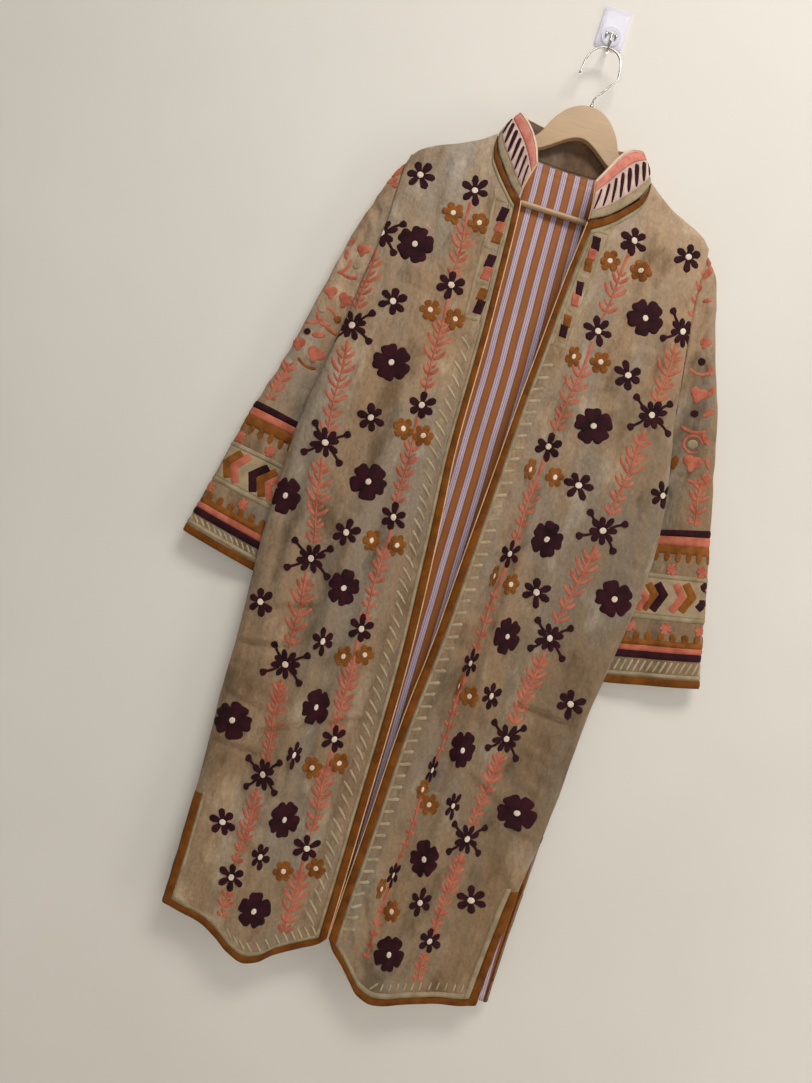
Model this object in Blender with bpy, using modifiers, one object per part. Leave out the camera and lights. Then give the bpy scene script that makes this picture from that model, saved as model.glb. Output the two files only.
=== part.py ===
# An embroidered chapan robe that hangs open on a wooden hanger from a wall hook.
# Metres in the scene, millimetres in the tables below. +Z up, -Y is the robe's
# front, +X is the viewer's right. The wall is the plane y = 0 and the origin is
# on the wall pad's back face.
#
# Every cloth piece is a thin wall. The two fronts and the back are sheets whose
# rims meet at the shoulder and side seams, the sleeves are open tubes, and the
# collar is a band that stands round the neck. Braid lies on the fronts, the back
# and the cuffs, made from their own points moved out.

import bpy
import bmesh
import math
import numpy as np

MM = 0.001

# ------------------------------------------------------------------ sizes, mm
CLOTH = 2.0          # velvet with its backing
COLLAR_PLY = 1.4     # collar outer layer and collar facing
LINING = 1.0         # striped back lining
BRAID = 1.0          # braid thickness
BRAID_W = 10.5       # braid width
GAP = 0.3            # between pieces at a seam
SLIT_Z = -1195.0     # top of the side slits
BACK_HEM_Z = -1358.0  # hem of the back
BACK_HEM_RISE = 24.0   # how far it arches up in the middle
HANGER_Y = -25.0     # plane of the hanger
HANGER_T = 10.5      # hanger's wood
ROLL_TOP = 18.0      # how far the cloth takes to turn over the shoulder
ROLL_FRONT = 26.0    # and round the side seam, in front
ROLL_BACK = 20.0     # and behind

# Outline of the body by height: side seams and the front opening's two edges.
OUTLINE_COLS = ("z", "left_side", "left_edge", "right_edge", "right_side", "back_left", "back_right")
OUTLINE = [
    (-205, -215.0, -57.5, 44.4, 216.0, -215.0, 216.0),
    (-266, -216.5, -57.5, 44.4, 216.5, -216.5, 216.5),
    (-300, -220.0, -51.8, 42.7, 217.0, -220.0, 217.0),
    (-365, -218.5, -47.0, 37.6, 220.5, -218.5, 220.5),
    (-440, -226.0, -43.0, 33.4, 232.0, -226.0, 232.0),
    (-500, -232.5, -40.0, 30.5, 240.0, -232.5, 240.0),
    (-560, -240.0, -38.5, 27.5, 253.0, -240.0, 253.0),
    (-630, -249.8, -36.0, 25.2, 266.0, -249.8, 266.0),
    (-708, -254.9, -29.0, 22.2, 272.0, -254.9, 272.0),
    (-786, -255.0, -21.0, 19.0, 266.5, -255.0, 266.5),
    (-902, -250.0, -12.0, 15.2, 254.5, -250.0, 254.5),
    (-958, -246.0, -9.0, 10.5, 248.5, -246.0, 248.5),
    (-1052, -243.8, -6.7, 6.0, 245.7, -243.8, 245.7),
    (-1145, -237.7, -5.2, 4.6, 237.0, -237.7, 241.5),
    (-1208, -235.6, -3.8, 3.0, 230.0, -235.6, 240.5),
    (-1290, -233.5, -2.4, 1.0, 224.0, -234.5, 239.0),
    (-1400, -232.0, -1.6, 0.6, 219.5, -233.5, 238.5),
]

# Depth of the body by height: seam rims, then the fronts beside the side seam,
# at mid width and at the opening, and the flat of the back.
DEPTH_COLS = ("z", "seam_front", "seam_back", "near_side", "middle", "edge", "back")
DEPTH = [
    (-205, -25.3, -24.7, -36.0, -41.0, -50.0, -13.5),
    (-266, -25.3, -24.7, -37.0, -43.0, -51.0, -13.5),
    (-300, -30.0, -19.5, -38.0, -45.0, -51.0, -14.0),
    (-365, -31.0, -19.0, -39.0, -46.0, -50.5, -14.0),
    (-440, -31.0, -19.0, -39.0, -46.0, -50.0, -14.5),
    (-500, -24.6, -23.4, -38.5, -45.5, -49.0, -15.5),
    (-630, -24.3, -23.7, -38.0, -44.5, -47.5, -16.5),
    (-849, -24.3, -23.7, -37.0, -42.5, -44.5, -16.5),
    (-1052, -24.3, -23.7, -36.0, -40.5, -41.5, -16.5),
    (-1208, -24.6, -23.4, -35.0, -38.5, -39.0, -16.5),
    (-1400, -29.0, -20.0, -34.0, -36.5, -36.0, -16.5),
]

# Top of the panels: shoulder seam from the armhole to the neck, each side.
SHOULDER_COLS = ("left_x", "left_z", "right_x", "right_z")
SHOULDER = [
    (-215.0, -266.0, 216.0, -267.0),
    (-202.5, -254.0, 204.7, -256.6),
    (-182.0, -243.5, 184.4, -246.5),
    (-162.0, -235.0, 164.0, -238.0),
    (-141.5, -226.0, 143.6, -228.0),
    (-121.0, -212.5, 124.0, -214.0),
    (-110.0, -204.5, 112.0, -205.0),
]

# Front neckline from the shoulder to the front corner, each side.
NECK_COLS = ("left_x", "right_x", "z", "y")
NECK = [
    (-110.0, 112.0, -204.8, -25.5),
    (-109.9, 111.9, -206.4, -30.8),
    (-109.5, 111.5, -212.4, -35.8),
    (-108.4, 110.4, -222.0, -38.0),
    (-100.2, 101.5, -238.5, -41.2),
    (-85.0, 84.0, -260.5, -46.0),
    (-70.0, 64.5, -279.4, -49.5),
    (-57.5, 44.4, -291.2, -51.0),
]

# Pointed hem of each front, from the side slit to the opening.
HEM_COLS = ("across", "left_z", "right_z")
HEM = [
    (0.00, -1352.0, -1359.0),
    (0.14, -1357.0, -1367.0),
    (0.31, -1369.0, -1377.0),
    (0.46, -1388.0, -1387.0),
    (0.54, -1397.5, -1394.0),
    (0.64, -1391.0, -1399.5),
    (0.70, -1379.0, -1397.0),
    (0.85, -1358.0, -1366.0),
    (1.00, -1331.0, -1330.0),
]

# Largest folds of the fronts: a soft ridge (negative depth) or trough along a
# line from its upper to its lower end.
FOLD_COLS = ("side", "x_top", "z_top", "x_low", "z_low", "depth", "width")
FOLDS = [
    ("left", -150.0, -420.0, -125.0, -1390.0, -3.0, 26.0),
    ("left", -205.0, -620.0, -190.0, -1330.0, 2.2, 20.0),
    ("left", -62.0, -900.0, -50.0, -1360.0, 2.6, 15.0),
    ("right", 150.0, -430.0, 105.0, -1390.0, -3.2, 24.0),
    ("right", 70.0, -760.0, 55.0, -1370.0, 3.4, 13.0),
    ("right", 215.0, -560.0, 180.0, -1340.0, 2.4, 22.0),
]

# Sleeves: each row is a ring from the outer edge to the inner edge.
SLEEVE_COLS = ("outer_x", "outer_z", "inner_x", "inner_z", "y_outer", "y_inner", "half_outer")
SLEEVE_LEFT = [
    (-217.0, -277.0, -231.5, -490.0, -25.0, -24.0, 5.6),
    (-233.0, -304.0, -233.9, -497.0, -24.0, -23.0, 7.0),
    (-246.6, -344.2, -235.3, -506.5, -22.0, -20.0, 9.0),
    (-258.5, -385.0, -236.9, -519.0, -20.0, -16.0, 10.5),
    (-267.5, -423.2, -238.8, -536.0, -19.0, -11.0, 11.5),
    (-279.4, -486.8, -236.5, -562.0, -18.0, -9.4, 12.0),
    (-290.0, -540.0, -228.0, -592.0, -18.0, -9.2, 12.0),
    (-302.0, -594.0, -209.0, -630.0, -17.5, -9.2, 12.0),
    (-320.4, -660.1, -191.0, -680.0, -17.5, -9.2, 12.0),
    (-334.0, -724.0, -183.0, -745.0, -17.0, -9.2, 11.5),
    (-348.0, -790.0, -187.0, -822.0, -17.0, -9.2, 11.5),
    (-360.2, -846.6, -197.4, -885.0, -17.0, -9.2, 11.5),
    (-362.4, -857.0, -199.0, -895.5, -17.0, -9.2, 11.5),
]
SLEEVE_RIGHT = [
    (218.0, -277.0, 238.8, -490.0, -25.0, -24.0, 5.6),
    (236.0, -300.0, 241.3, -497.0, -24.0, -23.0, 7.0),
    (250.5, -339.0, 243.1, -506.5, -22.0, -20.0, 9.0),
    (261.0, -372.0, 245.5, -519.0, -20.0, -16.0, 10.5),
    (274.0, -410.0, 249.2, -536.0, -19.0, -11.0, 11.5),
    (297.0, -475.0, 250.5, -562.0, -18.0, -9.4, 12.0),
    (311.5, -530.0, 244.0, -592.0, -18.0, -9.2, 12.0),
    (325.6, -585.0, 229.0, -630.0, -17.5, -9.2, 12.0),
    (340.5, -647.0, 212.0, -680.0, -17.5, -9.2, 12.0),
    (356.5, -715.0, 205.0, -745.0, -17.0, -9.2, 11.5),
    (373.0, -785.0, 211.0, -822.0, -17.0, -9.2, 11.5),
    (386.6, -841.6, 227.0, -881.0, -17.0, -9.2, 11.5),
    (389.1, -852.0, 229.0, -891.5, -17.0, -9.2, 11.5),
]

# Stand collar: the seam below and the free edge above, from one front end to the
# centre back. The right half has its own x.
COLLAR_COLS = ("left_x0", "right_x0", "y0", "z0", "left_x1", "right_x1", "y1", "z1")
COLLAR = [
    (-57.0, 43.8, -51.4, -289.4, -46.8, 36.3, -56.0, -239.5),
    (-69.4, 63.6, -49.8, -278.2, -53.5, 46.0, -52.5, -219.0),
    (-84.2, 83.2, -46.3, -259.4, -64.0, 55.0, -47.0, -198.0),
    (-99.2, 100.3, -41.5, -237.4, -78.0, 66.5, -39.5, -179.0),
    (-107.0, 109.0, -37.8, -220.6, -86.5, 79.0, -32.5, -169.0),
    (-108.6, 110.6, -35.4, -211.4, -88.8, 88.0, -27.5, -166.5),
    (-109.0, 111.0, -25.0, -203.4, -89.2, 90.5, -22.0, -165.5),
    (-100.0, 102.0, -17.2, -206.0, -82.0, 86.0, -15.0, -165.8),
    (-84.0, 86.0, -14.2, -210.4, -68.0, 72.0, -11.2, -167.0),
    (-56.0, 58.0, -13.3, -215.8, -45.0, 49.0, -9.2, -169.8),
    (-28.0, 30.0, -13.0, -219.0, -22.0, 26.0, -8.4, -171.0),
    (1.0, 1.0, -13.0, -220.2, 2.0, 2.0, -8.2, -171.5),
]

# Hanger outline, half of it, from the top of the head round to the notch below.
HANGER_COLS = ("from_centre", "z")
HANGER_CX = 2.0
HANGER = [
    (0.0, -130.5), (10.0, -131.6), (20.5, -135.6), (31.0, -143.0), (40.5, -153.9), (47.5, -165.0),
    (53.0, -177.0), (61.0, -189.5), (74.0, -199.5), (92.0, -207.0), (110.0, -213.0), (124.0, -222.0),
    (142.0, -233.0), (162.0, -242.8), (183.0, -251.6), (197.0, -260.2), (202.5, -268.0),
    (202.5, -284.0), (198.0, -294.5), (190.0, -298.0), (172.0, -298.0), (172.0, -267.0),
    (150.0, -258.0), (110.0, -237.0), (50.0, -205.0), (0.0, -176.5),
]
BAR_Z, BAR_R = -284.0, 4.0

# Steel hook of the hanger, in the hanger's plane, from its tip to the wood.
HOOK_R = 1.5
HOOK_COLS = ("x", "z")
HOOK = [
    (-27.0, -87.0), (-26.4, -78.0), (-25.2, -68.0), (-22.0, -57.5), (-15.0, -49.0), (-7.5, -44.6),
    (1.0, -43.2), (9.0, -44.4), (15.5, -48.2), (20.8, -54.6), (24.0, -64.0), (25.3, -75.0), (25.0, -83.5),
    (16.5, -96.5), (7.4, -109.6), (3.4, -115.5), (2.0, -122.0), (2.0, -130.1),
]

# Wall hook: a clear pad, an embossed disc on it, and a bent steel wire.
PAD_W, PAD_H, PAD_T = 40.0, 56.6, 3.0
DISC_R, DISC_T, DISC_Z = 14.0, 2.0, -13.0
WALL_HOOK_R = 1.5
WALL_HOOK_COLS = ("y", "z")
WALL_HOOK = [
    (-7.4, -10.0), (-7.4, -18.0), (-7.5, -26.0), (-8.9, -33.0), (-12.6, -39.6), (-18.0, -44.6),
    (-24.0, -46.8), (-29.0, -45.6), (-32.2, -41.6), (-33.0, -37.5),
]

# materials: colour, roughness, metallic
FINISH = {
    "velvet": ((0.40, 0.31, 0.21), 0.85, 0.0),
    "collar": ((0.60, 0.50, 0.42), 0.85, 0.0),
    "facing": ((0.24, 0.16, 0.11), 0.85, 0.0),
    "lining": ((0.42, 0.24, 0.14), 0.55, 0.0),
    "braid": ((0.30, 0.10, 0.02), 0.75, 0.0),
    "wood": ((0.50, 0.33, 0.17), 0.45, 0.0),
    "steel": ((0.62, 0.61, 0.58), 0.28, 1.0),
    "clear": ((0.72, 0.71, 0.74), 0.20, 0.0),
}


# ------------------------------------------------------------------ helpers
def column(table, cols, name):
    k = cols.index(name)
    return np.array([row[k] for row in table], dtype=float)


def smooth_through(xs, ys, x):
    """Smooth curve through points, with no overshoot (limited cubic)."""
    xs = np.asarray(xs, float)
    ys = np.asarray(ys, float)
    if xs[0] > xs[-1]:
        xs, ys = xs[::-1], ys[::-1]
    h = np.diff(xs)
    d = np.diff(ys) / h
    m = np.zeros_like(ys)
    m[0], m[-1] = d[0], d[-1]
    for i in range(1, len(ys) - 1):
        if d[i - 1] * d[i] > 0:
            w1, w2 = 2 * h[i] + h[i - 1], h[i] + 2 * h[i - 1]
            m[i] = (w1 + w2) / (w1 / d[i - 1] + w2 / d[i])
    x = np.clip(np.asarray(x, float), xs[0], xs[-1])
    i = np.clip(np.searchsorted(xs, x) - 1, 0, len(h) - 1)
    t = (x - xs[i]) / h[i]
    return ((2 * t**3 - 3 * t**2 + 1) * ys[i] + (t**3 - 2 * t**2 + t) * h[i] * m[i]
            + (-2 * t**3 + 3 * t**2) * ys[i + 1] + (t**3 - t**2) * h[i] * m[i + 1])


def outline(name, z):
    return smooth_through(column(OUTLINE, OUTLINE_COLS, "z"), column(OUTLINE, OUTLINE_COLS, name), z)


def depth(name, z):
    return smooth_through(column(DEPTH, DEPTH_COLS, "z"), column(DEPTH, DEPTH_COLS, name), z)


def shoulder_z(side, x):
    return smooth_through(column(SHOULDER, SHOULDER_COLS, side + "_x"),
                          column(SHOULDER, SHOULDER_COLS, side + "_z"), x)


def neck_at(side, x, name):
    return smooth_through(column(NECK, NECK_COLS, side + "_x"), column(NECK, NECK_COLS, name), x)


def roll(s):
    s = np.clip(s, 0.0, 1.0)
    return np.sqrt(1.0 - (1.0 - s) ** 2)


def ease(t):
    t = np.clip(t, 0.0, 1.0)
    return t * t * (3 - 2 * t)


def material(name):
    if name in bpy.data.materials:
        return bpy.data.materials[name]
    colour, rough, metal = FINISH[name]
    m = bpy.data.materials.new(name)
    m.use_nodes = True
    b = m.node_tree.nodes["Principled BSDF"]
    b.inputs["Base Color"].default_value = (*colour, 1.0)
    b.inputs["Roughness"].default_value = rough
    b.inputs["Metallic"].default_value = metal
    m.diffuse_color = (*colour, 1.0)
    return m


def node_material(node, finish):
    """Each piece has its own material, in one of the finishes."""
    m = material(finish).copy()
    m.name = node + "_" + finish
    return m


def add_object(name, mesh, finish, collection):
    ob = bpy.data.objects.new(name, mesh)
    mesh.materials.clear()
    mesh.materials.append(node_material(name, finish))
    collection.objects.link(ob)
    return ob


def normals(P, wrap):
    """Unit normals of a grid of points, +cross(along rows, along columns)."""
    if wrap:
        du = np.roll(P, -1, axis=0) - np.roll(P, 1, axis=0)
    else:
        du = np.gradient(P, axis=0)
    dv = np.gradient(P, axis=1)
    n = np.cross(du, dv)
    length = np.linalg.norm(n, axis=2, keepdims=True)
    length[length < 1e-9] = 1.0
    return n / length


def wall(name, outer, thick, finish, collection, wrap=False, square=None, cells=None, lift=0.0, inward=None):
    """A cloth wall: the outer skin, and the inner skin one thickness in.

    square marks rim points whose wall stays square to the seam's plane (no y
    part), so two neighbours' rims stay parallel. cells picks some of the grid's
    cells, for a strip that lies on a panel; lift moves it out from the panel.
    """
    if inward is None:
        N = normals(outer, wrap)
        if square is not None:
            N = N.copy()
            N[..., 1] = np.where(square, 0.0, N[..., 1])
            length = np.linalg.norm(N, axis=2, keepdims=True)
            length[length < 1e-6] = 1.0
            N = N / length
    else:
        N = inward
    skin_a = outer + N * (lift + (thick if lift else 0.0))
    skin_b = skin_a - N * thick
    ni, nj = outer.shape[:2]
    columns = ni if wrap else ni - 1
    chosen = [(i, j) for i in range(columns) for j in range(nj - 1)
              if cells is None or cells(i, j)]
    picked = set(chosen)
    bm = bmesh.new()
    made = {}

    def vert(side, i, j):
        key = (side, i % ni, j)
        if key not in made:
            p = (skin_a if side == 0 else skin_b)[i % ni, j] * MM
            made[key] = bm.verts.new(p)
        return made[key]

    for i, j in chosen:
        a = [vert(0, i, j), vert(0, i + 1, j), vert(0, i + 1, j + 1), vert(0, i, j + 1)]
        b = [vert(1, i, j), vert(1, i + 1, j), vert(1, i + 1, j + 1), vert(1, i, j + 1)]
        bm.faces.new(a)
        bm.faces.new(b[::-1])
        for (di, dj), (p, q) in (((0, -1), (0, 1)), ((1, 0), (1, 2)), ((0, 1), (2, 3)), ((-1, 0), (3, 0))):
            ii, jj = i + di, j + dj
            if wrap:
                ii %= columns
            if (ii, jj) not in picked:
                bm.faces.new((a[q], a[p], b[p], b[q]))
    bmesh.ops.triangulate(bm, faces=bm.faces[:])
    bmesh.ops.recalc_face_normals(bm, faces=bm.faces[:])
    mesh = bpy.data.meshes.new(name)
    bm.to_mesh(mesh)
    bm.free()
    mesh.shade_smooth()
    return add_object(name, mesh, finish, collection)


# ------------------------------------------------------------------ the fronts
# Columns across a front: how far round the side roll, then share of the width.
U_HPS = 0.667
EDGE_STEPS = [(0.0, 0.0), (0.0, 0.24), (0.09, None), (0.42, None), (1.0, None)]


def fold_depth(side, x, z):
    y = 0.0
    for row in FOLDS:
        f = dict(zip(FOLD_COLS, row))
        if f["side"] != side:
            continue
        t = (z - f["z_top"]) / (f["z_low"] - f["z_top"])
        line = f["x_top"] + (f["x_low"] - f["x_top"]) * np.clip(t, 0, 1)
        strength = ease(t / 0.3) * ease((1.12 - t) / 0.12)
        y += f["depth"] * strength * math.exp(-((x - line) / f["width"]) ** 2)
    return y


def front_flat(side, u, x, z):
    """Depth of a front away from its seams."""
    a, b, c = depth("near_side", z), depth("middle", z), depth("edge", z)
    y = a + (b - a) * ease(u / 0.55) if u < 0.55 else b + (c - b) * ease((u - 0.55) / 0.45)
    return float(y + fold_depth(side, x, z))


def slit_open(z):
    """0 above the side slits, 1 where they hang open."""
    return float(ease((SLIT_Z + 20.0 - z) / 60.0))


def front_grid(side):
    """Outer skin of a front, columns from the side to the opening, rows down."""
    side_name, edge_name = side + "_side", side + "_edge"
    sgn = 1.0 if side == "left" else -1.0
    x_point, x_hps, x_neck = ((-215.0, -110.0, -57.5) if side == "left" else (216.0, 112.0, 44.4))
    width = abs(x_neck - x_point)
    u_hps = abs(x_hps - x_point) / width
    rest = 1.0 - u_hps
    n_edge = len(EDGE_STEPS)
    tops = [0.0] * n_edge + [u_hps * k for k in (0.40, 0.60, 0.80, 1.0)] \
        + [u_hps + 0.7 / width, u_hps + 4.0 / width, u_hps + rest * 0.30, u_hps + rest * 0.56, None, 1.0]
    lows = [0.0] * n_edge + [0.25, 0.36, 0.46, 0.56, 0.64, 0.72, 0.80, 0.88, None, 1.0]
    hps = n_edge + 3
    hem_z = lambda u: float(smooth_through(column(HEM, HEM_COLS, "across"), column(HEM, HEM_COLS, side + "_z"), u))
    n_low = 17
    ni, nj = len(tops), 5 + n_low + 2
    P = np.zeros((ni, nj, 3))
    square = np.zeros((ni, nj), bool)
    for i, u in enumerate(tops):
        inner = i > hps

        def x_at(z, q_top=1.0):
            xs, xe = float(outline(side_name, z)), float(outline(edge_name, z))
            w = abs(xe - xs)
            if i < n_edge:
                d = EDGE_STEPS[i][0] * ROLL_FRONT
                if i == 1:
                    d = 1.4 * max(1.0 - q_top, slit_open(z))
                return xs + sgn * d, d / w
            if u is None:
                return xe - sgn * BRAID_W, 1.0 - BRAID_W / w
            share = u + (lows[i] - u) * float(ease((-z - (290.0 if inner else 215.0)) / 200.0))
            return xs + sgn * w * share, share

        zt = -266.0
        for _ in range(6):
            x, uu = x_at(zt, 0.0)
            zt = float(neck_at(side, x, "z")) if inner else float(shoulder_z(side, x))
        x_top = x
        near = abs(x - float(outline(side_name, zt)))
        q_col = 0.0 if i == 0 else (0.24 if i == 1 else float(roll(near / ROLL_FRONT)))
        zb = hem_z(uu if i < n_edge or u is None else lows[i])
        ds = [0.0, 2.2, 5.5, BRAID_W, ROLL_TOP] if inner else \
            [0.0, 1.4 * (1 - q_col), 0.09 * ROLL_TOP, 0.42 * ROLL_TOP, ROLL_TOP]
        for j in range(nj):
            if j < 5:
                z = zt - ds[j]
                q_top = float(roll(ds[j] / ROLL_TOP)) if inner or j >= 2 else (0.0, 0.24)[j]
            else:
                q_top = 1.0
                z0, z1 = zt - ds[4], zb + BRAID_W
                k = j - 4
                z = z0 + (z1 - z0) * k / (n_low + 1) if k <= n_low + 1 else zb
            x, share = x_at(z, q_top)
            q_side = q_col if i < 2 else float(roll(abs(x - float(outline(side_name, z))) / ROLL_FRONT))
            q_side += (1.0 - q_side) * 0.85 * slit_open(z)
            flat = front_flat(side, share, x, z)
            if inner:
                y0 = float(neck_at(side, x_top, "y"))
                y = y0 + (flat - y0) * q_top
            else:
                y0 = float(depth("seam_front", z))
                y = y0 + (flat - y0) * q_side * q_top
            P[i, j] = (x, y, z)
            square[i, j] = i == 0 or (j == 0 and not inner)
    if side == "right":
        P, square = P[::-1], square[::-1]
    return P, square


def even_out(N, square, rounds=2):
    """Let the wall's direction change gradually, and keep rims square."""
    for _ in range(rounds):
        M = N.copy()
        M[1:] += N[:-1]
        M[:-1] += N[1:]
        M[:, 1:] += N[:, :-1]
        M[:, :-1] += N[:, 1:]
        N = M / np.maximum(np.linalg.norm(M, axis=2, keepdims=True), 1e-9)
    N[..., 1] = np.where(square, 0.0, N[..., 1])
    return N / np.maximum(np.linalg.norm(N, axis=2, keepdims=True), 1e-9)


def make_front(side, collection):
    P, square = front_grid(side)
    N = normals(P, False)
    corner = 0 if side == "left" else -1
    # the outward side of a front is -Y
    if N[7, 11, 1] > 0:
        N = -N
    out = -1.0 if side == "left" else 1.0
    N = even_out(N, square, 1)
    # at the shoulder point both rims meet, so the wall leans outward there
    tip = slice(0, 2) if side == "left" else slice(-2, None)
    N[tip, 0:2] = np.array((out, 0.0, 1.0)) / math.sqrt(2.0)
    node = "front_" + side
    wall(node, P, CLOTH, "velvet", collection, inward=N)
    # braid along the neck, the opening, the hem and the slit
    ni, nj = P.shape[:2]
    left = side == "left"

    def cells(i, j):
        k = i if left else ni - 2 - i            # 0 at the side
        opening = k == ni - 2 and j > 0
        hem = j == nj - 2
        neck = k >= 9 and 0 < j < 3
        slit = k <= 2 and P[i, j, 2] < SLIT_Z
        return opening or hem or neck or slit
    wall("braid_front_" + side, P, BRAID, "braid", collection, inward=N, cells=cells, lift=GAP)
    return P


# ------------------------------------------------------------------ the back
def back_hem(x):
    """The back's hem, a soft arch over the middle."""
    return BACK_HEM_Z + BACK_HEM_RISE * math.exp(-((x + 2.0) / 78.0) ** 2)


def back_grid():
    lo, hi = -110.0, 112.0
    c, r = 0.5 * (lo + hi), 0.5 * (hi - lo)
    n_edge = len(EDGE_STEPS)
    share = lambda x: (x + 215.0) / 431.0
    neck = [share(c + r * k) for k in (-1.0, -0.975, -0.9, -0.55, -0.18, 0.18, 0.55, 0.9, 0.975, 1.0)]
    tops = [share(-180.0), share(-145.0)] + neck + [share(147.0), share(182.0)]
    lows = [0.125, 0.19, 0.25, 0.31, 0.37, 0.42, 0.475, 0.525, 0.58, 0.63, 0.69, 0.75, 0.81, 0.875]
    ni = n_edge * 2 + len(tops)
    n_low = 14
    nj = 5 + n_low + 2
    P = np.zeros((ni, nj, 3))
    square = np.zeros((ni, nj), bool)
    for i in range(ni):
        left_edge, right_edge = i < n_edge, i >= ni - n_edge
        e = i if left_edge else (ni - 1 - i if right_edge else None)
        m = i - n_edge

        def x_at(z, q_top=1.0):
            xl, xr = float(outline("back_left", z)), float(outline("back_right", z))
            if e is not None:
                d = EDGE_STEPS[e][0] * ROLL_BACK
                if e == 1:
                    d = 1.4 * max(1.0 - q_top, slit_open(z))
                return (xl + d) if left_edge else (xr - d)
            f = tops[m] + (lows[m] - tops[m]) * float(ease((-z - 240.0) / 220.0))
            return xl + (xr - xl) * f

        inner = e is None and 2 < m < len(tops) - 3
        zt = -240.0
        for _ in range(6):
            x = x_at(zt, 0.0)
            s = min(abs((x - c) / r), 1.0)
            zt = -204.8 - 16.6 * (1 - s * s) if inner else float(shoulder_z("left" if x < 0 else "right", x))
        near = min(x - float(outline("back_left", zt)), float(outline("back_right", zt)) - x)
        q_col = 0.0 if e == 0 else (0.24 if e == 1 else float(roll(near / ROLL_BACK)))
        s_top = abs((x - c) / r)
        ds = [0.0, 2.5, 5.5, 10.5, ROLL_TOP] if inner else \
            [0.0, 1.4 * (1 - q_col), 0.09 * ROLL_TOP, 0.42 * ROLL_TOP, ROLL_TOP]
        for j in range(nj):
            if j < 5:
                z = zt - ds[j]
                q_top = float(roll(ds[j] / ROLL_TOP)) if inner or j >= 2 else (0.0, 0.24)[j]
            else:
                q_top = 1.0
                hem = back_hem(x_at(BACK_HEM_Z))
                z0, z1 = zt - ds[4], hem + BRAID_W
                k = j - 4
                z = z0 + (z1 - z0) * k / (n_low + 1) if k <= n_low + 1 else hem
            x = x_at(z, q_top)
            near = min(x - float(outline("back_left", z)), float(outline("back_right", z)) - x)
            q_side = q_col if e in (0, 1) else float(roll(near / ROLL_BACK))
            q_side += (1.0 - q_side) * 0.85 * slit_open(z)
            # soft vertical waves towards the hem, on the side away from the wall
            wave = math.sin(x / 52.0 + 0.4) * float(ease((-z - 420.0) / 700.0))
            flat = float(depth("back", z)) - 0.9 * (1.0 + wave)
            if inner:
                y0 = -24.7 + 11.6 * math.sqrt(max(1 - s_top ** 6, 0.0))
                y = y0 + (flat - y0) * q_top
            else:
                y0 = float(depth("seam_back", z))
                y = y0 + (flat - y0) * q_side * q_top
            P[i, j] = (x, y, z)
            square[i, j] = e == 0 or (j == 0 and not inner)
    return P, square


def make_back(collection):
    P, square = back_grid()
    N = normals(P, False)
    if N[9, 12, 1] < 0:
        N = -N
    N = even_out(N, square, 1)
    N[:2, 0:2] = np.array((-1.0, 0.0, 1.0)) / math.sqrt(2.0)
    N[-2:, 0:2] = np.array((1.0, 0.0, 1.0)) / math.sqrt(2.0)
    wall("back", P, CLOTH, "velvet", collection, inward=N)
    ni, nj = P.shape[:2]

    def cells(i, j):
        hem = j == nj - 2
        slit = (i < 3 or i > ni - 5) and P[i, j, 2] < SLIT_Z
        return hem or slit
    wall("braid_back", P, BRAID, "braid", collection, inward=N, cells=cells, lift=GAP)
    # striped lining inside the back, made from its points
    a, b = 4, ni - 4
    Q = P[a:b, 3:-1].copy()
    M = N[a:b, 3:-1]
    wall("lining_back", Q - M * (CLOTH + GAP), LINING, "lining", collection, inward=M)
    return P


# ------------------------------------------------------------------ the sleeves
def sleeve_skin(side, inset):
    """One skin of a sleeve, all of it moved in by inset within its rings."""
    table = SLEEVE_LEFT if side == "left" else SLEEVE_RIGHT
    sgn = -1.0 if side == "left" else 1.0
    n_ring = 20
    rows = [dict(zip(SLEEVE_COLS, r)) for r in table]
    P = np.zeros((n_ring, len(rows), 3))
    outer = np.array([(r["outer_x"], r["outer_z"]) for r in rows])
    inner = np.array([(r["inner_x"], r["inner_z"]) for r in rows])

    def moved_in(path, towards):
        """The edge's path, moved square to itself into the sleeve."""
        t = np.gradient(path, axis=0)
        n = np.stack([t[:, 1], -t[:, 0]], axis=1) / np.linalg.norm(t, axis=1, keepdims=True)
        flip = np.sign(np.sum(n * (towards - path), axis=1, keepdims=True))
        return path + n * flip * inset

    outer_in, inner_in = moved_in(outer, inner), moved_in(inner, outer)
    outer_in[0] = outer[0] + (0.0, -1.6 * inset)
    inner_in[0] = inner[0] + (0.0, 1.0 * inset)
    for j, r in enumerate(rows):
        o, n = outer_in[j], inner_in[j]
        for i in range(n_ring):
            a = 2 * math.pi * i / n_ring
            s = math.sin(a)
            t = 0.5 - 0.5 * np.sign(math.cos(a)) * abs(math.cos(a)) ** 0.85
            x, z = o + (n - o) * t
            yc = r["y_outer"] + (r["y_inner"] - r["y_outer"]) * t
            half = r["half_outer"] + (5.2 - r["half_outer"]) * t - inset
            y = yc - half * np.sign(s) * abs(s) ** 0.62
            edge = float(outline(side + "_side", z))
            if j == 0:
                # the armhole ring follows the body's edge
                x = edge + sgn * (0.5 + 0.7 * t)
            out = sgn * (x - edge)                 # how far outside the body
            if z < -492.0:
                # behind the body below the armhole
                limit = -14.5 - 1.4 * max(out - 4.5, 0.0) + inset
                k = float(ease((-492.0 - z) / 40.0))
                limit = -45.0 + (limit + 45.0) * k
                y = max(y, limit)
            if s > 0 and j > 1:                    # long soft fold down the sleeve
                y += 2.2 * math.exp(-((t - 0.30 - 0.02 * j) / 0.10) ** 2)
            y = min(y, -4.0 - inset)
            P[i, j] = (x, y, z)
    return P


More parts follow.
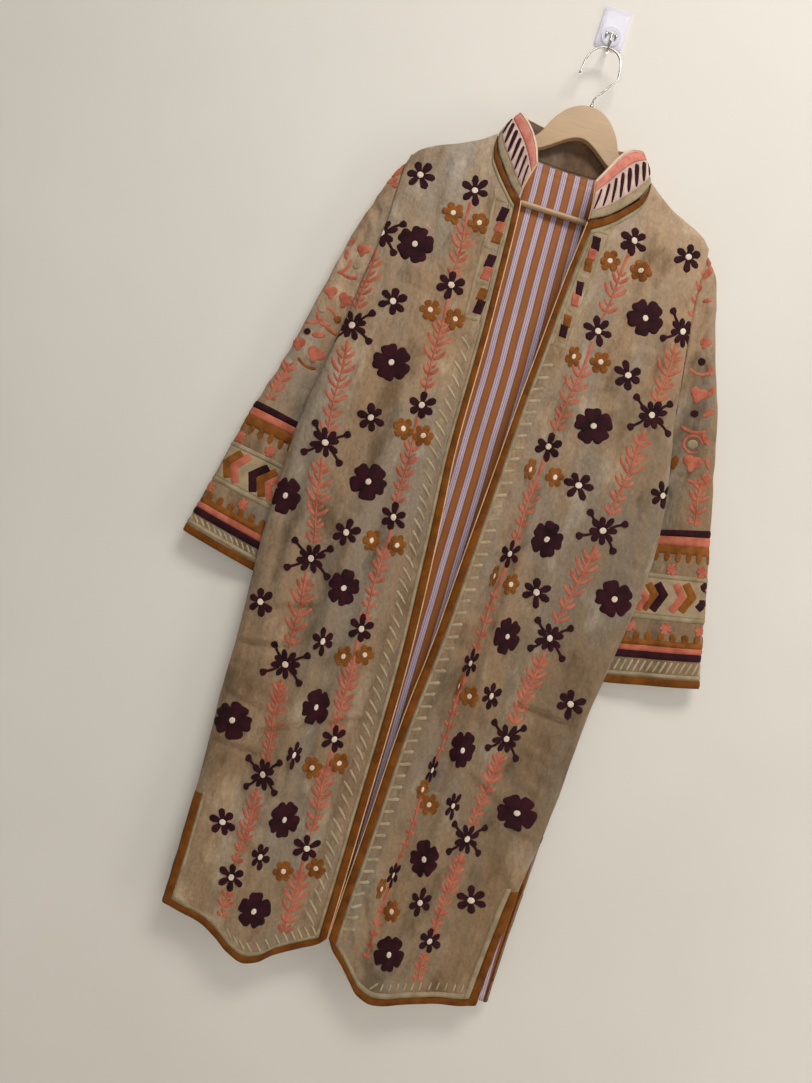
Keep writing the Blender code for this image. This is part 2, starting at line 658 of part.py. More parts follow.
def make_sleeve(side, collection):
    P, Q = sleeve_skin(side, 0.0), sleeve_skin(side, CLOTH)
    wall("sleeve_" + side, P, 1.0, "velvet", collection, wrap=True, inward=P - Q)
    N = normals(P, True)
    if N[5, 6, 1] > 0:
        N = -N
    last = P.shape[1] - 2
    wall("braid_cuff_" + side, P, BRAID, "braid", collection, wrap=True, inward=N,
         cells=lambda i, j: j == last, lift=GAP)


# ------------------------------------------------------------------ the collar
def collar_grid():
    n = 21
    half = len(COLLAR)
    s_half = np.linspace(0.0, 1.0, half)
    P = np.zeros((n, 4, 3))
    for i in range(n):
        s = i / (n - 1) * 2.0
        left = s <= 1.0
        k = s if left else 2.0 - s
        g = lambda name: float(smooth_through(s_half, column(COLLAR, COLLAR_COLS, name), k))
        x0 = g("left_x0") if left else g("right_x0")
        x1 = g("left_x1") if left else g("right_x1")
        low = np.array((x0, g("y0"), g("z0")))
        top = np.array((x1, g("y1"), g("z1")))
        up = (top - low) / np.linalg.norm(top - low)
        low = low + up * 1.1
        for j in range(4):
            f = j / 3.0
            P[i, j] = low + (top - low) * f
            # the band bows out a little between its seam and its free edge
            bow = 1.6 * 4 * f * (1 - f)
            c = np.array((2.0, -28.0, P[i, j, 2]))
            d = P[i, j] - c
            P[i, j] += bow * d / max(np.linalg.norm(d), 1.0)
    return P


def make_collar(collection):
    P = collar_grid()
    N = normals(P, False)
    if N[3, 1, 1] > 0:
        N = -N
    wall("collar", P, COLLAR_PLY, "collar", collection, inward=N)
    wall("collar_facing", P - N * (COLLAR_PLY + GAP), COLLAR_PLY, "facing", collection, inward=N)


# ------------------------------------------------------------------ hanger, hooks
def smooth_path(points, step):
    """Points along a smooth curve through the given ones, about a step apart."""
    p = np.array(points, float)
    out = []
    for i in range(len(p) - 1):
        p0 = p[max(i - 1, 0)]
        p1, p2 = p[i], p[i + 1]
        p3 = p[min(i + 2, len(p) - 1)]
        n = max(1, int(np.linalg.norm(p2 - p1) / step))
        for k in range(n):
            t = k / n
            out.append(0.5 * (2 * p1 + (p2 - p0) * t + (2 * p0 - 5 * p1 + 4 * p2 - p3) * t ** 2
                              + (3 * p1 - p0 - 3 * p2 + p3) * t ** 3))
    out.append(p[-1])
    return np.array(out)


def wire(name, points, radius, finish, collection):
    cu = bpy.data.curves.new(name, "CURVE")
    cu.dimensions = "3D"
    cu.bevel_depth = radius * MM
    cu.bevel_resolution = 2
    cu.use_fill_caps = True
    sp = cu.splines.new("POLY")
    sp.points.add(len(points) - 1)
    for q, p in zip(sp.points, points):
        q.co = (p[0] * MM, p[1] * MM, p[2] * MM, 1.0)
    ob = bpy.data.objects.new(name, cu)
    cu.materials.append(node_material(name, finish))
    collection.objects.link(ob)
    return ob


def make_hanger(collection):
    half = [(HANGER_CX + d, z) for d, z in HANGER]
    other = [(HANGER_CX - d, z) for d, z in HANGER[1:-1]][::-1]
    loop = half + other
    cu = bpy.data.curves.new("hanger_outline", "CURVE")
    cu.dimensions = "2D"
    cu.fill_mode = "BOTH"
    cu.extrude = HANGER_T * 0.5 * MM
    sp = cu.splines.new("POLY")
    sp.points.add(len(loop) - 1)
    for q, (x, z) in zip(sp.points, loop):
        q.co = (x * MM, z * MM, 0.0, 1.0)
    sp.use_cyclic_u = True
    tmp = bpy.data.objects.new("hanger_outline", cu)
    collection.objects.link(tmp)
    bpy.context.view_layer.update()
    mesh = bpy.data.meshes.new_from_object(tmp.evaluated_get(bpy.context.evaluated_depsgraph_get()))
    bpy.data.objects.remove(tmp)
    bm = bmesh.new()
    bm.from_mesh(mesh)
    bmesh.ops.remove_doubles(bm, verts=bm.verts[:], dist=0.00001)
    bmesh.ops.dissolve_limit(bm, angle_limit=math.radians(1.0), verts=bm.verts[:], edges=bm.edges[:])
    bm.to_mesh(mesh)
    bm.free()
    mesh.name = "hanger_body"
    ob = add_object("hanger_body", mesh, "wood", collection)
    ob.location = (0.0, HANGER_Y * MM, 0.0)
    ob.rotation_euler = (math.pi / 2, 0.0, 0.0)
    bev = ob.modifiers.new("rounded edges", "BEVEL")
    bev.width = 0.0035
    bev.segments = 3
    bev.limit_method = "ANGLE"
    bev.angle_limit = math.radians(50)
    # bar between the arms' ends
    x0, x1 = HANGER_CX - 172.0 + GAP, HANGER_CX + 172.0 - GAP
    bpy.ops.mesh.primitive_cylinder_add(vertices=24, radius=BAR_R * MM, depth=(x1 - x0) * MM,
                                        location=(0.5 * (x0 + x1) * MM, HANGER_Y * MM, BAR_Z * MM),
                                        rotation=(0.0, math.pi / 2, 0.0))
    bar = bpy.context.object
    bar.name = "hanger_bar"
    bar.data.name = "hanger_bar"
    bar.data.materials.append(node_material("hanger_bar", "wood"))
    move_to(bar, collection)
    path = smooth_path([(x, HANGER_Y, z) for x, z in HOOK], 4.5)
    wire("hanger_hook", path, HOOK_R, "steel", collection)


def make_wall_hook(collection):
    bpy.ops.mesh.primitive_cube_add(size=1.0, location=(0.0, -PAD_T * 0.5 * MM, 0.0))
    pad = bpy.context.object
    pad.name = "wall_pad"
    pad.data.name = "wall_pad"
    for v in pad.data.vertices:
        v.co = (v.co.x * PAD_W * MM, v.co.y * PAD_T * MM, v.co.z * PAD_H * MM)
    pad.data.materials.append(node_material("wall_pad", "clear"))
    bm = bmesh.new()
    bm.from_mesh(pad.data)
    upright = [e for e in bm.edges if abs(e.verts[0].co.y - e.verts[1].co.y) > PAD_T * 0.5 * MM]
    bmesh.ops.bevel(bm, geom=upright, offset=0.004, segments=4, profile=0.5, affect="EDGES")
    front = [e for e in bm.edges if all(v.co.y < -PAD_T * 0.49 * MM for v in e.verts)]
    bmesh.ops.bevel(bm, geom=front, offset=0.0008, segments=2, profile=0.5, affect="EDGES")
    bm.to_mesh(pad.data)
    bm.free()
    move_to(pad, collection)
    y0 = -PAD_T - GAP
    bpy.ops.mesh.primitive_cylinder_add(vertices=36, radius=DISC_R * MM, depth=DISC_T * MM,
                                        location=(0.0, (y0 - DISC_T * 0.5) * MM, DISC_Z * MM),
                                        rotation=(math.pi / 2, 0.0, 0.0))
    disc = bpy.context.object
    disc.name = "hook_disc"
    disc.data.name = "hook_disc"
    disc.data.materials.append(node_material("hook_disc", "clear"))
    move_to(disc, collection)
    path = smooth_path([(0.0, y, z) for y, z in WALL_HOOK], 3.5)
    wire("wall_hook", path, WALL_HOOK_R, "steel", collection)


def move_to(ob, collection):
    for c in list(ob.users_collection):
        c.objects.unlink(ob)
    collection.objects.link(ob)


def main():
    for ob in list(bpy.data.objects):
        bpy.data.objects.remove(ob)
    robe = bpy.data.collections.new("uzbek_chapan_robe")
    bpy.context.scene.collection.children.link(robe)
    make_front("left", robe)
    make_front("right", robe)
    make_back(robe)
    make_sleeve("left", robe)
    make_sleeve("right", robe)
    make_collar(robe)
    make_hanger(robe)
    make_wall_hook(robe)


main()
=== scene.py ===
# An embroidered chapan robe that hangs open on a wooden hanger from a wall hook:
# its looks. Metres in the scene, millimetres in the tables. +Z up, -Y is the
# robe's front, +X is the viewer's right, and the wall is the plane y = 0.
import bpy
import bmesh
import math
import numpy as np
from mathutils import Matrix, Vector
from mathutils.bvhtree import BVHTree


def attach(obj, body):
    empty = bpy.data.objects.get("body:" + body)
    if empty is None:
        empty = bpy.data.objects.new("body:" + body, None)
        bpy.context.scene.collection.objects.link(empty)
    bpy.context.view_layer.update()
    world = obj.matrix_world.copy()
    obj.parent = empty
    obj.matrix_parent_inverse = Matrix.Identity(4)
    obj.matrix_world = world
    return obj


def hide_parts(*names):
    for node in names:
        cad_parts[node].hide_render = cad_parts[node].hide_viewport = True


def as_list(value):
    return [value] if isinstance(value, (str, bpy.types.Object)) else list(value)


for start_up in ("Cube", "Light", "Camera"):
    if start_up in bpy.data.objects:
        bpy.data.objects.remove(bpy.data.objects[start_up])
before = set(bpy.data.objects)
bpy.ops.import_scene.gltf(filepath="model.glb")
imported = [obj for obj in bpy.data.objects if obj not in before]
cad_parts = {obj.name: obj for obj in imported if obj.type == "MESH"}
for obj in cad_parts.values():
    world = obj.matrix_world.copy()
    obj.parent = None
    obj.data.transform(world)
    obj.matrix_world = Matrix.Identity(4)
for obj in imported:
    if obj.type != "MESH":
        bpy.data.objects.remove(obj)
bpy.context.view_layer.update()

MM = 0.001

# ------------------------------------------------------------------ sizes, mm
CLOTH = 2.0          # velvet with its backing
COLLAR_PLY = 1.4     # collar outer layer and collar facing
LINING = 1.0         # striped back lining
BRAID = 1.0          # braid thickness
BRAID_W = 10.5       # braid width
GAP = 0.3            # between pieces at a seam
SLIT_Z = -1195.0     # top of the side slits
BACK_HEM_Z = -1358.0  # hem of the back
BACK_HEM_RISE = 24.0   # how far it arches up in the middle
HANGER_Y = -25.0     # plane of the hanger
HANGER_T = 10.5      # hanger's wood
ROLL_TOP = 18.0      # how far the cloth takes to turn over the shoulder
ROLL_FRONT = 26.0    # and round the side seam, in front
ROLL_BACK = 20.0     # and behind

# Outline of the body by height: side seams and the front opening's two edges.
OUTLINE_COLS = ("z", "left_side", "left_edge", "right_edge", "right_side", "back_left", "back_right")
OUTLINE = [
    (-205, -215.0, -57.5, 44.4, 216.0, -215.0, 216.0),
    (-266, -216.5, -57.5, 44.4, 216.5, -216.5, 216.5),
    (-300, -220.0, -51.8, 42.7, 217.0, -220.0, 217.0),
    (-365, -218.5, -47.0, 37.6, 220.5, -218.5, 220.5),
    (-440, -226.0, -43.0, 33.4, 232.0, -226.0, 232.0),
    (-500, -232.5, -40.0, 30.5, 240.0, -232.5, 240.0),
    (-560, -240.0, -38.5, 27.5, 253.0, -240.0, 253.0),
    (-630, -249.8, -36.0, 25.2, 266.0, -249.8, 266.0),
    (-708, -254.9, -29.0, 22.2, 272.0, -254.9, 272.0),
    (-786, -255.0, -21.0, 19.0, 266.5, -255.0, 266.5),
    (-902, -250.0, -12.0, 15.2, 254.5, -250.0, 254.5),
    (-958, -246.0, -9.0, 10.5, 248.5, -246.0, 248.5),
    (-1052, -243.8, -6.7, 6.0, 245.7, -243.8, 245.7),
    (-1145, -237.7, -5.2, 4.6, 237.0, -237.7, 241.5),
    (-1208, -235.6, -3.8, 3.0, 230.0, -235.6, 240.5),
    (-1290, -233.5, -2.4, 1.0, 224.0, -234.5, 239.0),
    (-1400, -232.0, -1.6, 0.6, 219.5, -233.5, 238.5),
]

# Depth of the body by height: seam rims, then the fronts beside the side seam,
# at mid width and at the opening, and the flat of the back.
DEPTH_COLS = ("z", "seam_front", "seam_back", "near_side", "middle", "edge", "back")
DEPTH = [
    (-205, -25.3, -24.7, -36.0, -41.0, -50.0, -13.5),
    (-266, -25.3, -24.7, -37.0, -43.0, -51.0, -13.5),
    (-300, -30.0, -19.5, -38.0, -45.0, -51.0, -14.0),
    (-365, -31.0, -19.0, -39.0, -46.0, -50.5, -14.0),
    (-440, -31.0, -19.0, -39.0, -46.0, -50.0, -14.5),
    (-500, -24.6, -23.4, -38.5, -45.5, -49.0, -15.5),
    (-630, -24.3, -23.7, -38.0, -44.5, -47.5, -16.5),
    (-849, -24.3, -23.7, -37.0, -42.5, -44.5, -16.5),
    (-1052, -24.3, -23.7, -36.0, -40.5, -41.5, -16.5),
    (-1208, -24.6, -23.4, -35.0, -38.5, -39.0, -16.5),
    (-1400, -29.0, -20.0, -34.0, -36.5, -36.0, -16.5),
]

# Top of the panels: shoulder seam from the armhole to the neck, each side.
SHOULDER_COLS = ("left_x", "left_z", "right_x", "right_z")
SHOULDER = [
    (-215.0, -266.0, 216.0, -267.0),
    (-202.5, -254.0, 204.7, -256.6),
    (-182.0, -243.5, 184.4, -246.5),
    (-162.0, -235.0, 164.0, -238.0),
    (-141.5, -226.0, 143.6, -228.0),
    (-121.0, -212.5, 124.0, -214.0),
    (-110.0, -204.5, 112.0, -205.0),
]

# Front neckline from the shoulder to the front corner, each side.
NECK_COLS = ("left_x", "right_x", "z", "y")
NECK = [
    (-110.0, 112.0, -204.8, -25.5),
    (-109.9, 111.9, -206.4, -30.8),
    (-109.5, 111.5, -212.4, -35.8),
    (-108.4, 110.4, -222.0, -38.0),
    (-100.2, 101.5, -238.5, -41.2),
    (-85.0, 84.0, -260.5, -46.0),
    (-70.0, 64.5, -279.4, -49.5),
    (-57.5, 44.4, -291.2, -51.0),
]

# Pointed hem of each front, from the side slit to the opening.
HEM_COLS = ("across", "left_z", "right_z")
HEM = [
    (0.00, -1352.0, -1359.0),
    (0.14, -1357.0, -1367.0),
    (0.31, -1369.0, -1377.0),
    (0.46, -1388.0, -1387.0),
    (0.54, -1397.5, -1394.0),
    (0.64, -1391.0, -1399.5),
    (0.70, -1379.0, -1397.0),
    (0.85, -1358.0, -1366.0),
    (1.00, -1331.0, -1330.0),
]

# Largest folds of the fronts: a soft ridge (negative depth) or trough along a
# line from its upper to its lower end.
FOLD_COLS = ("side", "x_top", "z_top", "x_low", "z_low", "depth", "width")
FOLDS = [
    ("left", -150.0, -420.0, -125.0, -1390.0, -3.0, 26.0),
    ("left", -205.0, -620.0, -190.0, -1330.0, 2.2, 20.0),
    ("left", -62.0, -900.0, -50.0, -1360.0, 2.6, 15.0),
    ("right", 150.0, -430.0, 105.0, -1390.0, -3.2, 24.0),
    ("right", 70.0, -760.0, 55.0, -1370.0, 3.4, 13.0),
    ("right", 215.0, -560.0, 180.0, -1340.0, 2.4, 22.0),
]

# Sleeves: each row is a ring from the outer edge to the inner edge.
SLEEVE_COLS = ("outer_x", "outer_z", "inner_x", "inner_z", "y_outer", "y_inner", "half_outer")
SLEEVE_LEFT = [
    (-217.0, -277.0, -231.5, -490.0, -25.0, -24.0, 5.6),
    (-233.0, -304.0, -233.9, -497.0, -24.0, -23.0, 7.0),
    (-246.6, -344.2, -235.3, -506.5, -22.0, -20.0, 9.0),
    (-258.5, -385.0, -236.9, -519.0, -20.0, -16.0, 10.5),
    (-267.5, -423.2, -238.8, -536.0, -19.0, -11.0, 11.5),
    (-279.4, -486.8, -236.5, -562.0, -18.0, -9.4, 12.0),
    (-290.0, -540.0, -228.0, -592.0, -18.0, -9.2, 12.0),
    (-302.0, -594.0, -209.0, -630.0, -17.5, -9.2, 12.0),
    (-320.4, -660.1, -191.0, -680.0, -17.5, -9.2, 12.0),
    (-334.0, -724.0, -183.0, -745.0, -17.0, -9.2, 11.5),
    (-348.0, -790.0, -187.0, -822.0, -17.0, -9.2, 11.5),
    (-360.2, -846.6, -197.4, -885.0, -17.0, -9.2, 11.5),
    (-362.4, -857.0, -199.0, -895.5, -17.0, -9.2, 11.5),
]
SLEEVE_RIGHT = [
    (218.0, -277.0, 238.8, -490.0, -25.0, -24.0, 5.6),
    (236.0, -300.0, 241.3, -497.0, -24.0, -23.0, 7.0),
    (250.5, -339.0, 243.1, -506.5, -22.0, -20.0, 9.0),
    (261.0, -372.0, 245.5, -519.0, -20.0, -16.0, 10.5),
    (274.0, -410.0, 249.2, -536.0, -19.0, -11.0, 11.5),
    (297.0, -475.0, 250.5, -562.0, -18.0, -9.4, 12.0),
    (311.5, -530.0, 244.0, -592.0, -18.0, -9.2, 12.0),
    (325.6, -585.0, 229.0, -630.0, -17.5, -9.2, 12.0),
    (340.5, -647.0, 212.0, -680.0, -17.5, -9.2, 12.0),
    (356.5, -715.0, 205.0, -745.0, -17.0, -9.2, 11.5),
    (373.0, -785.0, 211.0, -822.0, -17.0, -9.2, 11.5),
    (386.6, -841.6, 227.0, -881.0, -17.0, -9.2, 11.5),
    (389.1, -852.0, 229.0, -891.5, -17.0, -9.2, 11.5),
]

# Stand collar: the seam below and the free edge above, from one front end to the
# centre back. The right half has its own x.
COLLAR_COLS = ("left_x0", "right_x0", "y0", "z0", "left_x1", "right_x1", "y1", "z1")
COLLAR = [
    (-57.0, 43.8, -51.4, -289.4, -46.8, 36.3, -56.0, -239.5),
    (-69.4, 63.6, -49.8, -278.2, -53.5, 46.0, -52.5, -219.0),
    (-84.2, 83.2, -46.3, -259.4, -64.0, 55.0, -47.0, -198.0),
    (-99.2, 100.3, -41.5, -237.4, -78.0, 66.5, -39.5, -179.0),
    (-107.0, 109.0, -37.8, -220.6, -86.5, 79.0, -32.5, -169.0),
    (-108.6, 110.6, -35.4, -211.4, -88.8, 88.0, -27.5, -166.5),
    (-109.0, 111.0, -25.0, -203.4, -89.2, 90.5, -22.0, -165.5),
    (-100.0, 102.0, -17.2, -206.0, -82.0, 86.0, -15.0, -165.8),
    (-84.0, 86.0, -14.2, -210.4, -68.0, 72.0, -11.2, -167.0),
    (-56.0, 58.0, -13.3, -215.8, -45.0, 49.0, -9.2, -169.8),
    (-28.0, 30.0, -13.0, -219.0, -22.0, 26.0, -8.4, -171.0),
    (1.0, 1.0, -13.0, -220.2, 2.0, 2.0, -8.2, -171.5),
]

# Hanger outline, half of it, from the top of the head round to the notch below.
HANGER_COLS = ("from_centre", "z")
HANGER_CX = 2.0
HANGER = [
    (0.0, -130.5), (10.0, -131.6), (20.5, -135.6), (31.0, -143.0), (40.5, -153.9), (47.5, -165.0),
    (53.0, -177.0), (61.0, -189.5), (74.0, -199.5), (92.0, -207.0), (110.0, -213.0), (124.0, -222.0),
    (142.0, -233.0), (162.0, -242.8), (183.0, -251.6), (197.0, -260.2), (202.5, -268.0),
    (202.5, -284.0), (198.0, -294.5), (190.0, -298.0), (172.0, -298.0), (172.0, -267.0),
    (150.0, -258.0), (110.0, -237.0), (50.0, -205.0), (0.0, -176.5),
]
BAR_Z, BAR_R = -284.0, 4.0

# Steel hook of the hanger, in the hanger's plane, from its tip to the wood.
HOOK_R = 1.5
HOOK_COLS = ("x", "z")
HOOK = [
    (-27.0, -87.0), (-26.4, -78.0), (-25.2, -68.0), (-22.0, -57.5), (-15.0, -49.0), (-7.5, -44.6),
    (1.0, -43.2), (9.0, -44.4), (15.5, -48.2), (20.8, -54.6), (24.0, -64.0), (25.3, -75.0), (25.0, -83.5),
    (16.5, -96.5), (7.4, -109.6), (3.4, -115.5), (2.0, -122.0), (2.0, -130.1),
]

# Wall hook: a clear pad, an embossed disc on it, and a bent steel wire.
PAD_W, PAD_H, PAD_T = 40.0, 56.6, 3.0
DISC_R, DISC_T, DISC_Z = 14.0, 2.0, -13.0
WALL_HOOK_R = 1.5
WALL_HOOK_COLS = ("y", "z")
WALL_HOOK = [
    (-7.4, -10.0), (-7.4, -18.0), (-7.5, -26.0), (-8.9, -33.0), (-12.6, -39.6), (-18.0, -44.6),
    (-24.0, -46.8), (-29.0, -45.6), (-32.2, -41.6), (-33.0, -37.5),
]


def column(table, cols, name):
    k = cols.index(name)
    return np.array([row[k] for row in table], dtype=float)


def smooth_through(xs, ys, x):
    """Smooth curve through points, with no overshoot (limited cubic)."""
    xs = np.asarray(xs, float)
    ys = np.asarray(ys, float)
    if xs[0] > xs[-1]:
        xs, ys = xs[::-1], ys[::-1]
    h = np.diff(xs)
    d = np.diff(ys) / h
    m = np.zeros_like(ys)
    m[0], m[-1] = d[0], d[-1]
    for i in range(1, len(ys) - 1):
        if d[i - 1] * d[i] > 0:
            w1, w2 = 2 * h[i] + h[i - 1], h[i] + 2 * h[i - 1]
            m[i] = (w1 + w2) / (w1 / d[i - 1] + w2 / d[i])
    x = np.clip(np.asarray(x, float), xs[0], xs[-1])
    i = np.clip(np.searchsorted(xs, x) - 1, 0, len(h) - 1)
    t = (x - xs[i]) / h[i]
    return ((2 * t**3 - 3 * t**2 + 1) * ys[i] + (t**3 - 2 * t**2 + t) * h[i] * m[i]
            + (-2 * t**3 + 3 * t**2) * ys[i + 1] + (t**3 - t**2) * h[i] * m[i + 1])


def outline(name, z):
    return smooth_through(column(OUTLINE, OUTLINE_COLS, "z"), column(OUTLINE, OUTLINE_COLS, name), z)


def depth(name, z):
    return smooth_through(column(DEPTH, DEPTH_COLS, "z"), column(DEPTH, DEPTH_COLS, name), z)


def shoulder_z(side, x):
    return smooth_through(column(SHOULDER, SHOULDER_COLS, side + "_x"),
                          column(SHOULDER, SHOULDER_COLS, side + "_z"), x)


def neck_at(side, x, name):
    return smooth_through(column(NECK, NECK_COLS, side + "_x"), column(NECK, NECK_COLS, name), x)


def roll(s):
    s = np.clip(s, 0.0, 1.0)
    return np.sqrt(1.0 - (1.0 - s) ** 2)


def ease(t):
    t = np.clip(t, 0.0, 1.0)
    return t * t * (3 - 2 * t)


def normals(P, wrap):
    """Unit normals of a grid of points, +cross(along rows, along columns)."""
    if wrap:
        du = np.roll(P, -1, axis=0) - np.roll(P, 1, axis=0)
    else:
        du = np.gradient(P, axis=0)
    dv = np.gradient(P, axis=1)
    n = np.cross(du, dv)
    length = np.linalg.norm(n, axis=2, keepdims=True)
    length[length < 1e-9] = 1.0
    return n / length


# ------------------------------------------------------------------ the fronts
# Columns across a front: how far round the side roll, then share of the width.
U_HPS = 0.667
EDGE_STEPS = [(0.0, 0.0), (0.0, 0.24), (0.09, None), (0.42, None), (1.0, None)]


def fold_depth(side, x, z):
    y = 0.0
    for row in FOLDS:
        f = dict(zip(FOLD_COLS, row))
        if f["side"] != side:
            continue
        t = (z - f["z_top"]) / (f["z_low"] - f["z_top"])
        line = f["x_top"] + (f["x_low"] - f["x_top"]) * np.clip(t, 0, 1)
        strength = ease(t / 0.3) * ease((1.12 - t) / 0.12)
        y += f["depth"] * strength * math.exp(-((x - line) / f["width"]) ** 2)
    return y


def front_flat(side, u, x, z):
    """Depth of a front away from its seams."""
    a, b, c = depth("near_side", z), depth("middle", z), depth("edge", z)
    y = a + (b - a) * ease(u / 0.55) if u < 0.55 else b + (c - b) * ease((u - 0.55) / 0.45)
    return float(y + fold_depth(side, x, z))


def slit_open(z):
    """0 above the side slits, 1 where they hang open."""
    return float(ease((SLIT_Z + 20.0 - z) / 60.0))


def front_grid(side):
    """Outer skin of a front, columns from the side to the opening, rows down."""
    side_name, edge_name = side + "_side", side + "_edge"
    sgn = 1.0 if side == "left" else -1.0
    x_point, x_hps, x_neck = ((-215.0, -110.0, -57.5) if side == "left" else (216.0, 112.0, 44.4))
    width = abs(x_neck - x_point)
    u_hps = abs(x_hps - x_point) / width
    rest = 1.0 - u_hps
    n_edge = len(EDGE_STEPS)
    tops = [0.0] * n_edge + [u_hps * k for k in (0.40, 0.60, 0.80, 1.0)] \
        + [u_hps + 0.7 / width, u_hps + 4.0 / width, u_hps + rest * 0.30, u_hps + rest * 0.56, None, 1.0]
    lows = [0.0] * n_edge + [0.25, 0.36, 0.46, 0.56, 0.64, 0.72, 0.80, 0.88, None, 1.0]
    hps = n_edge + 3
    hem_z = lambda u: float(smooth_through(column(HEM, HEM_COLS, "across"), column(HEM, HEM_COLS, side + "_z"), u))
    n_low = 17
    ni, nj = len(tops), 5 + n_low + 2
    P = np.zeros((ni, nj, 3))
    square = np.zeros((ni, nj), bool)
    for i, u in enumerate(tops):
        inner = i > hps

        def x_at(z, q_top=1.0):
            xs, xe = float(outline(side_name, z)), float(outline(edge_name, z))
            w = abs(xe - xs)
            if i < n_edge:
                d = EDGE_STEPS[i][0] * ROLL_FRONT
                if i == 1:
                    d = 1.4 * max(1.0 - q_top, slit_open(z))
                return xs + sgn * d, d / w
            if u is None:
                return xe - sgn * BRAID_W, 1.0 - BRAID_W / w
            share = u + (lows[i] - u) * float(ease((-z - (290.0 if inner else 215.0)) / 200.0))
            return xs + sgn * w * share, share

        zt = -266.0
        for _ in range(6):
            x, uu = x_at(zt, 0.0)
            zt = float(neck_at(side, x, "z")) if inner else float(shoulder_z(side, x))
        x_top = x
        near = abs(x - float(outline(side_name, zt)))
        q_col = 0.0 if i == 0 else (0.24 if i == 1 else float(roll(near / ROLL_FRONT)))
        zb = hem_z(uu if i < n_edge or u is None else lows[i])
        ds = [0.0, 2.2, 5.5, BRAID_W, ROLL_TOP] if inner else \
            [0.0, 1.4 * (1 - q_col), 0.09 * ROLL_TOP, 0.42 * ROLL_TOP, ROLL_TOP]
        for j in range(nj):
            if j < 5:
                z = zt - ds[j]
                q_top = float(roll(ds[j] / ROLL_TOP)) if inner or j >= 2 else (0.0, 0.24)[j]
            else:
                q_top = 1.0
                z0, z1 = zt - ds[4], zb + BRAID_W
                k = j - 4
                z = z0 + (z1 - z0) * k / (n_low + 1) if k <= n_low + 1 else zb
            x, share = x_at(z, q_top)
            q_side = q_col if i < 2 else float(roll(abs(x - float(outline(side_name, z))) / ROLL_FRONT))
            q_side += (1.0 - q_side) * 0.85 * slit_open(z)
            flat = front_flat(side, share, x, z)
            if inner:
                y0 = float(neck_at(side, x_top, "y"))
                y = y0 + (flat - y0) * q_top
            else:
                y0 = float(depth("seam_front", z))
                y = y0 + (flat - y0) * q_side * q_top
            P[i, j] = (x, y, z)
            square[i, j] = i == 0 or (j == 0 and not inner)
    if side == "right":
        P, square = P[::-1], square[::-1]
    return P, square


def even_out(N, square, rounds=2):
    """Let the wall's direction change gradually, and keep rims square."""
    for _ in range(rounds):
        M = N.copy()
        M[1:] += N[:-1]
        M[:-1] += N[1:]
        M[:, 1:] += N[:, :-1]
        M[:, :-1] += N[:, 1:]
        N = M / np.maximum(np.linalg.norm(M, axis=2, keepdims=True), 1e-9)
    N[..., 1] = np.where(square, 0.0, N[..., 1])
    return N / np.maximum(np.linalg.norm(N, axis=2, keepdims=True), 1e-9)


# ------------------------------------------------------------------ the back
def back_hem(x):
    """The back's hem, a soft arch over the middle."""
    return BACK_HEM_Z + BACK_HEM_RISE * math.exp(-((x + 2.0) / 78.0) ** 2)


